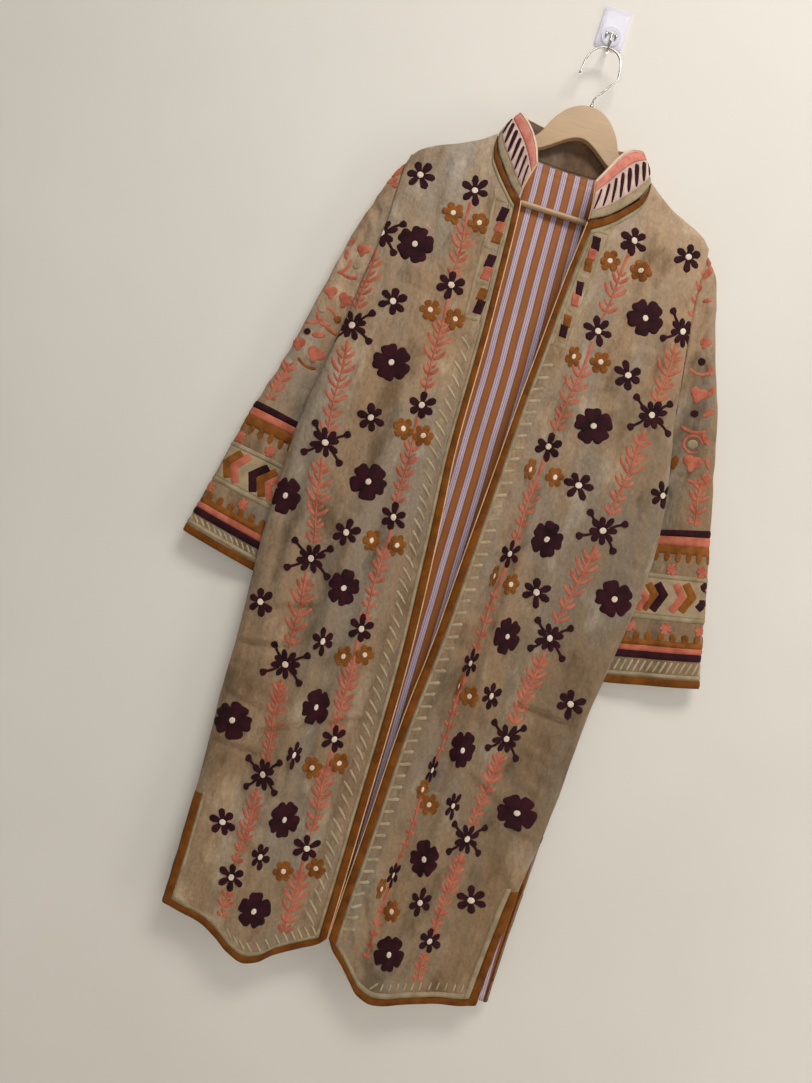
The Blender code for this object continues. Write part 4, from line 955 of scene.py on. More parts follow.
def velvet_material(name, light, mid, dark, low=1.0):
    """Crushed velvet: pressed patches, a fine nap, and painted shade and light: darker towards the hem and on the lower
    right front, paler near the shoulders.
    """
    s = Shader(name, rough=0.86, Sheen_Weight=0.26, Sheen_Roughness=0.42,
               Sheen_Tint=lin((232, 220, 196)), Specular_IOR_Level=0.18)
    big = s.noise(6.5, (1.3, 1.0, 0.42), 3.0, 0.55)
    brushed = s.noise(24.0, (1.0, 1.0, 0.5), 4.0, 0.62)
    fine = s.noise(240.0, (1.0, 1.0, 0.8), 3.0, 0.65)
    patch = s.math("ADD", s.math("MULTIPLY", big, 0.40), s.math("MULTIPLY", brushed, 0.60))
    base = s.ramp(patch, [(0.37, dark), (0.47, mid), (0.53, mid), (0.63, light)])
    # greyer where the nap lies flat
    grey = s.noise(11.0, (1.2, 1.0, 0.4), 3.0, 0.6)
    cool = s.ramp(grey, [(0.40, (1.06, 0.99, 0.92, 1)), (0.50, (1, 1, 1, 1)), (0.60, (0.90, 0.99, 1.12, 1))])
    base = s.mix(1.0, base, cool, "MULTIPLY")
    grain = s.ramp(fine, [(0.25, (0.80, 0.80, 0.80, 1)), (0.75, (1.12, 1.12, 1.12, 1))])
    colour = s.mix(1.0, base, grain, "MULTIPLY")
    tc = s.add("TexCoord").outputs["Object"]
    place = s.add("SeparateXYZ", Vector=tc)
    z = place.outputs["Z"]
    # painted shade and light: the velvet darkens towards the hem and turns paler near the shoulders, standing in for
    # the light that falls from above
    down = s.add("MapRange", Value=z, From_Min=-1.30, From_Max=-0.20, To_Min=0.0, To_Max=1.0).outputs["Result"]
    at = lambda z: (z + 1.30) / 1.10
    painted_height_shade = s.ramp(down, [(at(p), (low * r + (1 - low), low * g + (1 - low), low * b + (1 - low), 1)) for p, r, g, b in
                         ((-1.25, 0.90, 0.90, 0.87), (-1.13, 0.83, 0.83, 0.81), (-1.00, 0.81, 0.81, 0.80), (-0.88, 0.86, 0.86, 0.85),
                          (-0.70, 0.95, 0.95, 0.94), (-0.40, 1.04, 1.04, 1.04), (-0.24, 1.26, 1.33, 1.44))])
    colour = s.mix(1.0, colour, painted_height_shade, "MULTIPLY")
    # painted shade: the right front below the chest is darker, as velvet looks under this light where its nap lies the
    # other way
    right = s.add("MapRange", Value=place.outputs["X"], From_Min=0.09, From_Max=0.19, To_Min=0.0, To_Max=1.0).outputs["Result"]
    below = s.add("MapRange", Value=z, From_Min=-0.40, From_Max=-0.54, To_Min=0.0, To_Max=1.0).outputs["Result"]
    turned = s.ramp(s.math("MULTIPLY", right, below), [(0.0, (1, 1, 1, 1)), (1.0, (0.80, 0.78, 0.75, 1))])
    colour = s.mix(low, colour, turned, "MULTIPLY")
    nap = s.noise(1500.0, (1.0, 1.0, 0.7), 2.0, 0.6)
    rumple = s.noise(34.0, (1.0, 1.0, 0.62), 3.0, 0.55)
    soft = s.noise(80.0, (1.0, 1.0, 0.55), 3.0, 0.6)
    n = s.bump(rumple, 0.85, 0.0075)
    n = s.bump(soft, 0.7, 0.0036, n)
    n = s.bump(fine, 0.25, 0.0004, n)
    n = s.bump(nap, 0.30, 0.0002, n)
    rough = s.math("ADD", 0.78, s.math("MULTIPLY", brushed, 0.2))
    return s.finish(colour, n, rough)


def thread_material(name, pale, deep, shine=0.13):
    """Chain stitch: rows beside each other, each a string of links."""
    s = Shader(name, rough=0.72, Sheen_Weight=0.02, Sheen_Roughness=0.5, Specular_IOR_Level=shine)
    uv = s.add("UVMap").outputs["UV"]
    xyz = s.add("SeparateXYZ", Vector=uv)
    along, across = xyz.outputs["X"], xyz.outputs["Y"]
    wobble = s.noise(420.0, (1, 1, 1), 2.0)
    across = s.math("ADD", across, s.math("MULTIPLY", wobble, 0.5))
    row = s.math("ABSOLUTE", s.math("SINE", s.math("MULTIPLY", across, math.pi / 1.7)))
    link = s.math("ABSOLUTE", s.math("SINE", s.math("MULTIPLY", s.math("ADD", along, s.math("MULTIPLY", across, 0.5)), math.pi / 2.3)))
    height = s.math("MULTIPLY", s.math("POWER", row, 0.6), s.math("ADD", 0.62, s.math("MULTIPLY", link, 0.38)))
    fuzz = s.noise(1700.0, (1, 1, 1), 2.0)
    tone = s.noise(70.0, (1, 1, 1), 3.0)
    base = s.ramp(tone, [(0.30, deep), (0.62, pale)])
    # painted shade: the thread is darker in the grooves between its rows and links
    shade = s.ramp(height, [(0.0, (0.55, 0.55, 0.55, 1)), (0.6, (1, 1, 1, 1))])
    colour = s.mix(0.8, base, shade, "MULTIPLY")
    n = s.bump(height, 0.55, 0.0006)
    n = s.bump(fuzz, 0.30, 0.0002, n)
    return s.finish(colour, n)


def braid_material(name, pale, deep):
    """Corded braid: lines along it and a slanted twist across."""
    s = Shader(name, rough=0.72, Sheen_Weight=0.02, Sheen_Roughness=0.5, Specular_IOR_Level=0.13)
    uv = s.add("UVMap").outputs["UV"]
    xyz = s.add("SeparateXYZ", Vector=uv)
    along, across = xyz.outputs["X"], xyz.outputs["Y"]
    cord = s.math("ABSOLUTE", s.math("SINE", s.math("MULTIPLY", across, math.pi / 2.2)))
    twist = s.math("ABSOLUTE", s.math("SINE", s.math("MULTIPLY", s.math("ADD", along, s.math("MULTIPLY", across, 0.9)), math.pi / 2.6)))
    height = s.math("MULTIPLY", s.math("POWER", cord, 0.5), s.math("ADD", 0.55, s.math("MULTIPLY", twist, 0.45)))
    tone = s.noise(55.0, (1, 1, 1), 4.0, 0.6)
    base = s.ramp(tone, [(0.30, deep), (0.66, pale)])
    # painted shade: the braid is darker in the grooves between its cords and twists
    shade = s.ramp(height, [(0.0, (0.58, 0.58, 0.58, 1)), (0.6, (1, 1, 1, 1))])
    colour = s.mix(0.85, base, shade, "MULTIPLY")
    fuzz = s.noise(1500.0, (1, 1, 1), 2.0)
    n = s.bump(height, 0.6, 0.0007)
    n = s.bump(fuzz, 0.3, 0.0002, n)
    return s.finish(colour, n)


def lining_material(name, lean=0.0):
    """Striped cotton: rust and lilac stripes, the lilac ones with fine lines."""
    s = Shader(name, rough=0.62, Sheen_Weight=0.08, Specular_IOR_Level=0.3)
    tc = s.add("TexCoord").outputs["Object"]
    xyz = s.add("SeparateXYZ", Vector=tc)
    wave = s.noise(9.0, (1, 1, 1), 2.0)
    z = xyz.outputs["Z"]
    x = s.math("ADD", xyz.outputs["X"], s.math("MULTIPLY", s.math("MAXIMUM", z, -0.5), 0.048 + lean))
    x = s.math("ADD", x, s.math("MULTIPLY", s.math("MINIMUM", s.math("ADD", z, 0.5), 0.0), 0.02))
    x = s.math("ADD", x, s.math("MULTIPLY", wave, 0.0022))
    t = s.math("FRACT", s.math("MULTIPLY", s.math("ADD", x, 1.8126), 1.0 / 0.0184))
    rust, rust_edge = lin((156, 90, 30)), lin((112, 58, 18))
    lilac, white, line = lin((170, 146, 164)), lin((206, 190, 198)), lin((108, 78, 96))
    r = s.add("ValToRGB", Fac=t)
    r.color_ramp.interpolation = "CONSTANT"
    stops = [(0.0, rust_edge), (0.035, rust), (0.465, rust_edge), (0.50, line), (0.525, lilac), (0.60, white),
             (0.655, line), (0.68, lilac), (0.73, white), (0.79, lilac), (0.83, line), (0.855, white), (0.91, lilac),
             (0.965, line)]
    e = r.color_ramp.elements
    while len(e) < len(stops):
        e.new(0.5)
    for q, (p, c) in zip(e, stops):
        q.position, q.color = p, c
    cloth = s.noise(160.0, (1.0, 1.0, 0.12), 3.0, 0.6)
    weave = s.ramp(cloth, [(0.25, (0.84, 0.84, 0.84, 1)), (0.75, (1.08, 1.08, 1.08, 1))])
    colour = s.mix(1.0, r.outputs["Color"], weave, "MULTIPLY")
    a = s.math("SINE", s.math("MULTIPLY", xyz.outputs["X"], 2 * math.pi / 0.0007))
    b = s.math("SINE", s.math("MULTIPLY", xyz.outputs["Z"], 2 * math.pi / 0.0008))
    n = s.bump(s.math("MULTIPLY", a, b), 0.25, 0.0002)
    n = s.bump(s.noise(30.0, (1.0, 1.0, 0.25), 3.0), 0.35, 0.0012, n)
    return s.finish(colour, n)


def plain_cloth(name, pale, deep, pitch=0.0009):
    s = Shader(name, rough=0.8, Sheen_Weight=0.15, Specular_IOR_Level=0.2)
    tc = s.add("TexCoord").outputs["Object"]
    xyz = s.add("SeparateXYZ", Vector=tc)
    tone = s.noise(60.0, (1, 1, 1), 4.0)
    base = s.ramp(tone, [(0.3, deep), (0.7, pale)])
    a = s.math("SINE", s.math("MULTIPLY", xyz.outputs["X"], 2 * math.pi / pitch))
    b = s.math("SINE", s.math("MULTIPLY", xyz.outputs["Z"], 2 * math.pi / pitch))
    n = s.bump(s.math("MULTIPLY", a, b), 0.3, 0.0002)
    n = s.bump(s.noise(900.0, (1, 1, 1), 2.0), 0.3, 0.0002, n)
    return s.finish(base, n)


def wood_material(name, end=False):
    s = Shader(name, rough=0.42, Coat_Weight=0.25, Coat_Roughness=0.25, Specular_IOR_Level=0.4)
    grain = s.noise(34.0, (0.25, 1.0, 2.4) if not end else (0.2, 6.0, 6.0), 5.0, 0.6)
    pores = s.noise(260.0, (0.12, 1.0, 3.0), 2.0, 0.6)
    base = s.ramp(grain, [(0.28, lin((170, 137, 99))), (0.55, lin((179, 146, 108))), (0.8, lin((186, 154, 116)))])
    dots = s.ramp(pores, [(0.30, (0.86, 0.84, 0.82, 1)), (0.55, (1, 1, 1, 1))])
    colour = s.mix(0.7, base, dots, "MULTIPLY")
    n = s.bump(pores, 0.12, 0.0002)
    n = s.bump(grain, 0.08, 0.0005, n)
    rough = s.math("ADD", 0.34, s.math("MULTIPLY", grain, 0.16))
    return s.finish(colour, n, rough)


def steel_material(name):
    s = Shader(name, rough=0.24, metallic=1.0)
    s.bsdf.inputs["Base Color"].default_value = lin((178, 176, 168))
    marks = s.noise(900.0, (1, 1, 0.1), 3.0)
    tone = s.ramp(s.noise(60.0), [(0.3, lin((150, 148, 140))), (0.7, lin((192, 190, 182)))])
    n = s.bump(marks, 0.08, 0.0001)
    rough = s.math("ADD", 0.18, s.math("MULTIPLY", marks, 0.14))
    return s.finish(tone, n, rough)


def clear_material(name, tint, cloud=0.5):
    s = Shader(name, rough=0.16, Alpha=0.58, IOR=1.46, Specular_IOR_Level=0.5)
    c = s.noise(90.0, (1, 1, 1), 4.0)
    base = s.ramp(c, [(0.3, lin(tint)), (0.7, lin(tuple(min(255, t + 16) for t in tint)))])
    rough = s.math("ADD", 0.12, s.math("MULTIPLY", c, cloud))
    n = s.bump(s.noise(260.0), 0.05, 0.0002)
    return s.finish(base, n, rough)


# ------------------------------------------------------------------ dense skins
def spread(P, axis):
    """How far along an axis each row of a grid lies, on average, mm."""
    step = np.linalg.norm(np.diff(P, axis=axis), axis=2)
    return np.concatenate([[0.0], np.cumsum(np.maximum(step.mean(axis=1 - axis), 0.4))])


def resample(P, axis, k, t):
    """Points between a grid's rows, by a limited cubic."""
    Q = np.moveaxis(P, axis, 0)
    h = np.diff(k)[:, None, None]
    d = (Q[1:] - Q[:-1]) / h
    m = np.zeros_like(Q)
    m[0], m[-1] = d[0], d[-1]
    same = d[:-1] * d[1:] > 0
    a, b = np.where(same, d[:-1], 1.0), np.where(same, d[1:], 1.0)
    w1, w2 = 2 * h[1:] + h[:-1], h[1:] + 2 * h[:-1]
    m[1:-1] = np.where(same, (w1 + w2) / (w1 / a + w2 / b), 0.0)
    i = np.clip(np.searchsorted(k, t, side="right") - 1, 0, len(k) - 2)
    hh = np.diff(k)[i]
    f = ((t - k[i]) / hh)[:, None, None]
    hh = hh[:, None, None]
    out = ((2 * f**3 - 3 * f**2 + 1) * Q[i] + (f**3 - 2 * f**2 + f) * hh * m[i]
           + (-2 * f**3 + 3 * f**2) * Q[i + 1] + (f**3 - f**2) * hh * m[i + 1])
    return np.moveaxis(out, 0, axis)


def places(k, step, borders=()):
    """Even places along an axis, with some that must be among them."""
    marks = sorted({0.0, float(k[-1]), *[float(b) for b in borders]})
    out = []
    for a, b in zip(marks, marks[1:]):
        n = max(1, int(round((b - a) / step)))
        out += list(a + (b - a) * np.arange(n) / n)
    return np.array(out + [marks[-1]])


def creased(name, P, N):
    """The panel's points moved by its creases and by slow unevenness."""
    x, z = P[..., 0], P[..., 2]
    move = np.zeros(x.shape)
    for row in CREASES:
        c = dict(zip(CREASE_COLS, row))
        if c["panel"] != name:
            continue
        ax, az = c["x1"] - c["x0"], c["z1"] - c["z0"]
        L = math.hypot(ax, az)
        t = ((x - c["x0"]) * ax + (z - c["z0"]) * az) / L**2
        off = ((x - c["x0"]) * az - (z - c["z0"]) * ax) / L
        # a crease wanders a little and narrows towards its ends
        off = off + 0.45 * c["width"] * np.sin(3.1 * t + 0.021 * L + c["x0"])
        tc = np.clip(t, 0, 1)
        w = c["width"] * (0.72 + 0.4 * np.sin(math.pi * tc))
        fade = ease((t + 0.12) / 0.30) * ease((1.12 - t) / 0.34)
        deep = 1.55 if name.startswith("sleeve") else (2.3 if c["width"] < 6.5 else 2.0)
        move += c["out"] * deep * fade * np.exp(-(off / w) ** 2)
    move += 0.95 * np.sin(x / 23.0 + 1.3 * np.sin(z / 61.0)) * np.sin(z / 37.0 + 0.8 * np.sin(x / 41.0))
    move += 0.42 * np.sin(x / 9.5 + 2.0 * np.sin(z / 21.0)) * np.sin(z / 14.0 + x / 31.0)
    # short soft wrinkles that slant either way, uneven over the panel
    here = np.clip(np.sin(x / 47.0 + 2.1 * np.sin(z / 83.0)) * np.sin(z / 71.0 + 0.9 * np.sin(x / 59.0)), 0, 1)
    move += 0.9 * here * np.sin((z + 0.42 * x) / 6.4 + 1.7 * np.sin(x / 29.0) + 1.1 * np.sin(z / 43.0))
    there = np.clip(np.sin(x / 39.0 + 1.4 + 1.7 * np.sin(z / 67.0)) * np.sin(z / 97.0 + 2.0), 0, 1)
    move += 0.75 * there * np.sin((z - 0.55 * x) / 7.3 + 1.5 * np.sin(x / 33.0) + 0.9 * np.sin(z / 37.0))
    return move


def quads(ni, nj, wrap, base=0, flip=False):
    i = np.arange(ni if wrap else ni - 1)[:, None]
    j = np.arange(nj - 1)[None, :]
    a, b = i * nj + j, ((i + 1) % ni) * nj + j
    q = np.stack([a, b, b + 1, a + 1], axis=-1).reshape(-1, 4) + base
    return q[:, ::-1] if flip else q


def mesh_from(name, verts, faces, groups, mats, uv=None, smooth=True):
    """A mesh object from arrays: points in mm, quads or triangles, a material for each face."""
    me = bpy.data.meshes.new(name)
    faces = [np.asarray(f) for f in faces if len(f)]
    me.vertices.add(len(verts))
    me.vertices.foreach_set("co", (np.asarray(verts) * MM).astype(np.float32).ravel())
    sizes = np.concatenate([np.full(len(f), f.shape[1]) for f in faces])
    loops = np.concatenate([f.ravel() for f in faces]).astype(np.int32)
    me.loops.add(len(loops))
    me.loops.foreach_set("vertex_index", loops)
    me.polygons.add(len(sizes))
    me.polygons.foreach_set("loop_start", np.concatenate([[0], np.cumsum(sizes)[:-1]]).astype(np.int32))
    me.polygons.foreach_set("material_index", np.concatenate(groups).astype(np.int32))
    if uv is not None:
        layer = me.uv_layers.new(name="UVMap")
        layer.data.foreach_set("uv", np.asarray(uv)[loops].astype(np.float32).ravel())
    me.polygons.foreach_set("use_smooth", np.ones(len(sizes), bool) if smooth else np.zeros(len(sizes), bool))
    me.update(calc_edges=True)
    me.validate()
    for m in mats:
        me.materials.append(m)
    ob = bpy.data.objects.new(name, me)
    bpy.context.scene.collection.objects.link(ob)
    return ob


def outward(ob):
    bm = bmesh.new()
    bm.from_mesh(ob.data)
    bmesh.ops.recalc_face_normals(bm, faces=bm.faces[:])
    bm.to_mesh(ob.data)
    bm.free()
    return ob


def shell(name, A, B, mats, wrap=False, rim=2, uv=None):
    """Two skins and the rims between them; materials: outer, inner, rim."""
    ni, nj = A.shape[:2]
    n = ni * nj
    verts = np.concatenate([A.reshape(-1, 3), B.reshape(-1, 3)])
    fa, fb = quads(ni, nj, wrap), quads(ni, nj, wrap, n, True)
    idx = np.arange(n).reshape(ni, nj)
    if wrap:
        loops = [(idx[:, 0], True), (idx[:, -1], False)]
        rims = []
        for ring, flip in loops:
            nxt = np.roll(ring, -1)
            q = np.stack([nxt, ring, ring + n, nxt + n], axis=-1)
            rims.append(q[:, ::-1] if not flip else q)
    else:
        border = np.concatenate([idx[:, 0], idx[-1, 1:], idx[-2::-1, -1], idx[0, -2:0:-1]])
        nxt = np.roll(border, -1)
        rims = [np.stack([nxt, border, border + n, nxt + n], axis=-1)]
    fr = np.concatenate(rims)
    uvs = None if uv is None else np.concatenate([uv.reshape(-1, 2)] * 2)
    ob = mesh_from(name, verts, [fa, fb, fr],
                   [np.zeros(len(fa)), np.ones(len(fb)), np.full(len(fr), rim)], mats, uvs)
    return outward(ob)


class Skin:
    """One outer skin, its normals, and where it is seen."""

    def __init__(self, P, N, wrap=False, look=1.0, cells=None):
        self.P, self.N, self.look = P, N, look
        ni, nj = P.shape[:2]
        q = quads(ni, nj, wrap)
        self.tree = BVHTree.FromPolygons([Vector(p) for p in P.reshape(-1, 3)], q.tolist())

    def at(self, x, z, start=None):
        """Point and normal where a line along y meets the skin."""
        y = -400.0 if self.look > 0 else 400.0
        hit = self.tree.ray_cast(Vector((x, y, z)), Vector((0, self.look, 0)))
        if hit[0] is None:
            return None
        n = hit[1]
        if n.y * self.look > 0:
            n = -n
        return hit[0], n

    def seen(self, x, z, plane=-45.0):
        """Where the point that the camera sees at x, z on a plane lies on the skin."""
        aim = np.array((x, plane, z)) - PHOTO_EYE
        hit = self.tree.ray_cast(Vector(PHOTO_EYE), Vector(aim).normalized())
        if hit[0] is not None:
            return hit[0].x, hit[0].z
        k = (-30.0 - PHOTO_EYE[1]) / (plane - PHOTO_EYE[1])
        return PHOTO_EYE[0] + (x - PHOTO_EYE[0]) * k, PHOTO_EYE[2] + (z - PHOTO_EYE[2]) * k


# ------------------------------------------------------------------ embroidery
class Embroidery:
    """Raised stitching drawn in x and z, then laid on a skin as one mesh."""

    def __init__(self, seed, light=False):
        # light: fewer points, for the side that faces the wall
        self.light = light
        self.xz, self.h, self.uv, self.faces, self.colour = [], [], [], [], []
        self.count = 0
        self.rng = np.random.default_rng(seed)

    def put(self, xz, h, uv, faces, colour):
        self.xz.append(xz)
        self.h.append(h)
        self.uv.append(uv)
        self.faces.append(np.asarray(faces) + self.count)
        self.colour.append(np.full(len(faces), list(THREADS).index(colour)))
        self.count += len(xz)

    def dome(self, shape, colour, high=1.2, centre=None):
        """A filled shape, round about its centre, with its edge on the cloth."""
        P = np.asarray(shape, float)
        if self.light:
            P = P[::2]
        area = np.sum(P[:, 0] * np.roll(P[:, 1], -1) - np.roll(P[:, 0], -1) * P[:, 1])
        if area < 0:
            P = P[::-1]
        c = P.mean(axis=0) if centre is None else np.asarray(centre, float)
        P = np.vstack([P, P[:1]])
        n = len(P)
        R = np.linalg.norm(P - c, axis=1).mean()
        along = np.concatenate([[0], np.cumsum(np.linalg.norm(np.diff(P, axis=0), axis=1))])
        rings = [(1.0, -0.12), (0.95, 0.55), (0.84, 0.92), (0.6, 1.0), (0.3, 0.97)]
        if self.light:
            rings = [(1.0, -0.12), (0.90, 0.80), (0.55, 1.0)]
        xz = np.concatenate([c + (P - c) * s for s, _ in rings] + [c[None]])
        h = np.concatenate([np.full(n, k * high) for _, k in rings] + [np.array([0.95 * high])])
        uv = np.concatenate([np.stack([along, np.full(n, (1 - s) * R)], axis=1) for s, _ in rings]
                            + [np.array([[along[-1] * 0.5, R]])])
        faces = []
        for r in range(len(rings) - 1):
            a, b = r * n, (r + 1) * n
            for i in range(n - 1):
                faces += [(a + i, a + i + 1, b + i + 1), (a + i, b + i + 1, b + i)]
        last, mid = (len(rings) - 1) * n, len(rings) * n
        faces += [(last + i, last + i + 1, mid) for i in range(n - 1)]
        self.put(xz, h, uv, faces, colour)

    def stroke(self, points, width, colour, high=0.9, step=2.2, blunt=False, widths=None):
        """A line of stitching through points, with rounded ends."""
        step *= 1.6 if self.light else 1.0
        p = np.asarray(points, float)
        if len(p) > 2 and not blunt:
            p3 = smooth_path(np.column_stack([p, np.zeros(len(p))]), step)
            q = p3[:, :2]
        else:
            q = [p[0]]
            for a, b in zip(p, p[1:]):
                n = max(1, int(np.linalg.norm(b - a) / step))
                q += [a + (b - a) * k / n for k in range(1, n + 1)]
            q = np.array(q)
        seg = np.linalg.norm(np.diff(q, axis=0), axis=1)
        along = np.concatenate([[0], np.cumsum(seg)])
        L = along[-1]
        t = np.gradient(q, axis=0)
        t /= np.maximum(np.linalg.norm(t, axis=1, keepdims=True), 1e-9)
        side = np.stack([t[:, 1], -t[:, 0]], axis=1)
        full = np.full(len(q), width * 0.5) if widths is None else \
            np.interp(along / max(L, 1e-9), np.linspace(0, 1, len(widths)), widths) * 0.5
        r = width * 0.5
        near = np.minimum(along, L - along)
        if not blunt:
            full = full * np.sqrt(np.clip(1 - (1 - np.clip(near / r, 0, 1)) ** 2, 0.05, 1))
        else:
            # sharp bends keep the line's width
            turn = np.ones(len(q))
            for i in range(1, len(q) - 1):
                u, v = q[i] - q[i - 1], q[i + 1] - q[i]
                cosine = np.dot(u, v) / max(np.linalg.norm(u) * np.linalg.norm(v), 1e-9)
                turn[i] = 1.0 / max(math.sqrt(max(0.5 * (1 + cosine), 0.05)), 0.3)
            full = full * turn
        marks = [(-1.0, -0.12), (-0.72, 0.74), (0.0, 1.0), (0.72, 0.74), (1.0, -0.12)]
        xz = np.concatenate([q + side * (full * m)[:, None] for m, _ in marks])
        tip = np.ones(len(q))
        tip[0] = tip[-1] = 0.15 if not blunt else 0.5
        h = np.concatenate([tip * k * high if k > 0 else np.full(len(q), k) for _, k in marks])
        uv = np.concatenate([np.stack([along, m * full + 0.85], axis=1) for m, _ in marks])
        n = len(q)
        faces = []
        for r_ in range(len(marks) - 1):
            a, b = r_ * n, (r_ + 1) * n
            for i in range(n - 1):
                faces += [(a + i, b + i, b + i + 1), (a + i, b + i + 1, a + i + 1)]
        faces = np.array(faces)
        # keep the faces' outward side the same as the domes'
        f = faces[len(faces) // 2]
        A, B, C = xz[f[0]], xz[f[1]], xz[f[2]]
        if (B[0] - A[0]) * (C[1] - A[1]) - (B[1] - A[1]) * (C[0] - A[0]) < 0:
            faces = faces[:, ::-1]
        self.put(xz, h, uv, faces, colour)

    # --- motifs
    def local(self, pts, x, z, turn, narrow):
        a = math.radians(turn)
        p = np.asarray(pts, float)
        q = np.stack([p[:, 0] * math.cos(a) - p[:, 1] * math.sin(a), p[:, 0] * math.sin(a) + p[:, 1] * math.cos(a)], axis=1)
        return q * (narrow, 1.0) + (x, z)

    def petal(self, r0, r1, w, angle, egg=0.32):
        f = np.linspace(0, 2 * math.pi, 20, endpoint=False)
        a = 0.5 * (r0 + r1) + 0.5 * (r1 - r0) * np.cos(f)
        b = w * np.sin(f) * (1 + egg * np.cos(f))
        wob = self.rng.normal(0, 0.16, len(f))
        a, b = a + wob, b + np.roll(wob, 3)
        c, s = math.cos(angle), math.sin(angle)
        return np.stack([a * c - b * s, a * s + b * c], axis=1)

    def club(self, out, wide, angle):
        """A petal that is narrow at the flower's middle and broad and blunt outside."""
        f = np.linspace(0, 1, 9)
        half = wide * np.interp(f, (0.0, 0.25, 0.62, 0.84, 0.95, 1.0), (0.42, 0.62, 1.0, 0.94, 0.62, 0.22))
        half = half * (1 + self.rng.normal(0, 0.05, len(f)))
        a = 1.0 + (out - 1.0) * f
        pts = np.concatenate([np.stack([a, half], axis=1), np.stack([a[::-1], -half[::-1]], axis=1)])
        c, s = math.cos(angle), math.sin(angle)
        return np.stack([pts[:, 0] * c - pts[:, 1] * s, pts[:, 0] * s + pts[:, 1] * c], axis=1)

    def six(self, x, z, narrow, turn, size=20.5, colour="purple"):
        r = self.rng
        for k in range(6):
            an = math.radians(90 + turn + 60 * k + r.uniform(-9, 9))
            out = size * r.uniform(0.88, 1.08)
            self.dome(self.local(self.club(out, size * r.uniform(0.225, 0.27), an), x, z, 0, narrow), colour, 1.3)
        self.dome(self.local(self.petal(-4.8, 4.8, 4.4, r.uniform(0, 3), 0.0), x, z, 0, narrow), "cream", 2.0)

    def big(self, x, z, narrow, turn, size=27.0):
        r = self.rng
        f = np.linspace(0, 2 * math.pi, 110, endpoint=False)
        R = np.full(len(f), size * 0.99)
        first = math.radians(turn)
        for k in range(5):
            # a notch between two lobes, and a slight dent in the middle of each lobe
            at = first + 2 * math.pi * (k + r.uniform(-0.09, 0.09)) / 5
            d = np.abs(np.mod(f - at + math.pi, 2 * math.pi) - math.pi)
            R -= size * r.uniform(0.26, 0.40) * np.exp(-(d / r.uniform(0.10, 0.15)) ** 1.3)
            m = np.abs(np.mod(f - at - math.pi / 5 + math.pi, 2 * math.pi) - math.pi)
            R -= size * r.uniform(0.02, 0.09) * np.exp(-(m / 0.17) ** 2)
            R *= 1 + r.uniform(-0.07, 0.05) * np.exp(-(m / 0.42) ** 2)
        R += r.normal(0, 0.12, len(f))
        pts = np.stack([R * np.cos(f), R * np.sin(f)], axis=1)
        self.dome(self.local(pts, x, z, 0, narrow), "purple", 1.7, centre=(x, z))
        self.dome(self.local(self.petal(-4.6, 4.6, 4.2, r.uniform(0, 3), 0.0), x, z, 0, narrow), "cream", 2.5)

    def burst(self, x, z, narrow, turn, size=21.5):
        r = self.rng
        for k in range(4):
            an = math.radians(turn + (38, 142, 218, 322)[k] + r.uniform(-6, 6))
            L = r.uniform(29, 34)
            line = np.array([(9 * math.cos(an), 9 * math.sin(an)), (20 * math.cos(an + 0.05), 20 * math.sin(an + 0.05)),
                             (L * math.cos(an), L * math.sin(an))])
            self.stroke(self.local(line, x, z, 0, narrow), 3.8, "purple", 1.1)
            self.dome(self.local(self.petal(L - 6.0, L + 5.6, 4.9, an, 0.38), x, z, 0, narrow), "purple", 1.5)
        for k in range(8):
            an = math.radians(turn + 22 + 45 * k + r.uniform(-5, 5))
            out = size * r.uniform(0.86, 1.06)
            self.dome(self.local(self.club(out, size * r.uniform(0.185, 0.22), an), x, z, 0, narrow), "purple", 1.3)
        self.dome(self.local(self.petal(-5.0, 5.0, 4.6, r.uniform(0, 3), 0.0), x, z, 0, narrow), "cream", 2.0)

    def ochre(self, x, z, narrow, turn, size=15.6, coral=False):
        r = self.rng
        for k in range(6):
            an = math.radians(turn + 60 * k + r.uniform(-7, 7))
            out = size * r.uniform(0.90, 1.07)
            self.dome(self.local(self.club(out, size * r.uniform(0.30, 0.35), an), x, z, 0, narrow), "ochre", 1.3)
        f = np.linspace(0, 2 * math.pi, 24, endpoint=False)
        disc = np.stack([np.cos(f), np.sin(f)], axis=1) * size * 0.62
        self.dome(self.local(disc, x, z, 0, narrow), "ochre", 1.4, centre=(x, z))
        self.dome(self.local(self.petal(-4.1, 4.1, 3.8, r.uniform(0, 3), 0.0), x, z, 0, narrow), "cream", 2.1)
        if coral:
            for a0 in (60, 120, 170, 20):
                arc = [(12.5 * math.cos(math.radians(a0 + d)), 12.5 * math.sin(math.radians(a0 + d))) for d in (-20, 0, 20)]
                self.stroke(self.local(arc, x, z, 0, narrow), 2.8, "coral", 2.0)

    def rosette(self, x, z, size, colour="coral"):
        """A small round flower of short strokes."""
        r = self.rng
        for k in range(7):
            an = 2 * math.pi * (k + r.uniform(-0.2, 0.2)) / 7
            self.dome(self.petal(size * 0.2, size * r.uniform(0.9, 1.1), size * 0.30, an, 0.2) + (x, z), colour, 1.3)
        self.dome(self.petal(-size * 0.55, size * 0.55, size * 0.52, 0.4, 0.0) + (x, z), colour, 1.5)

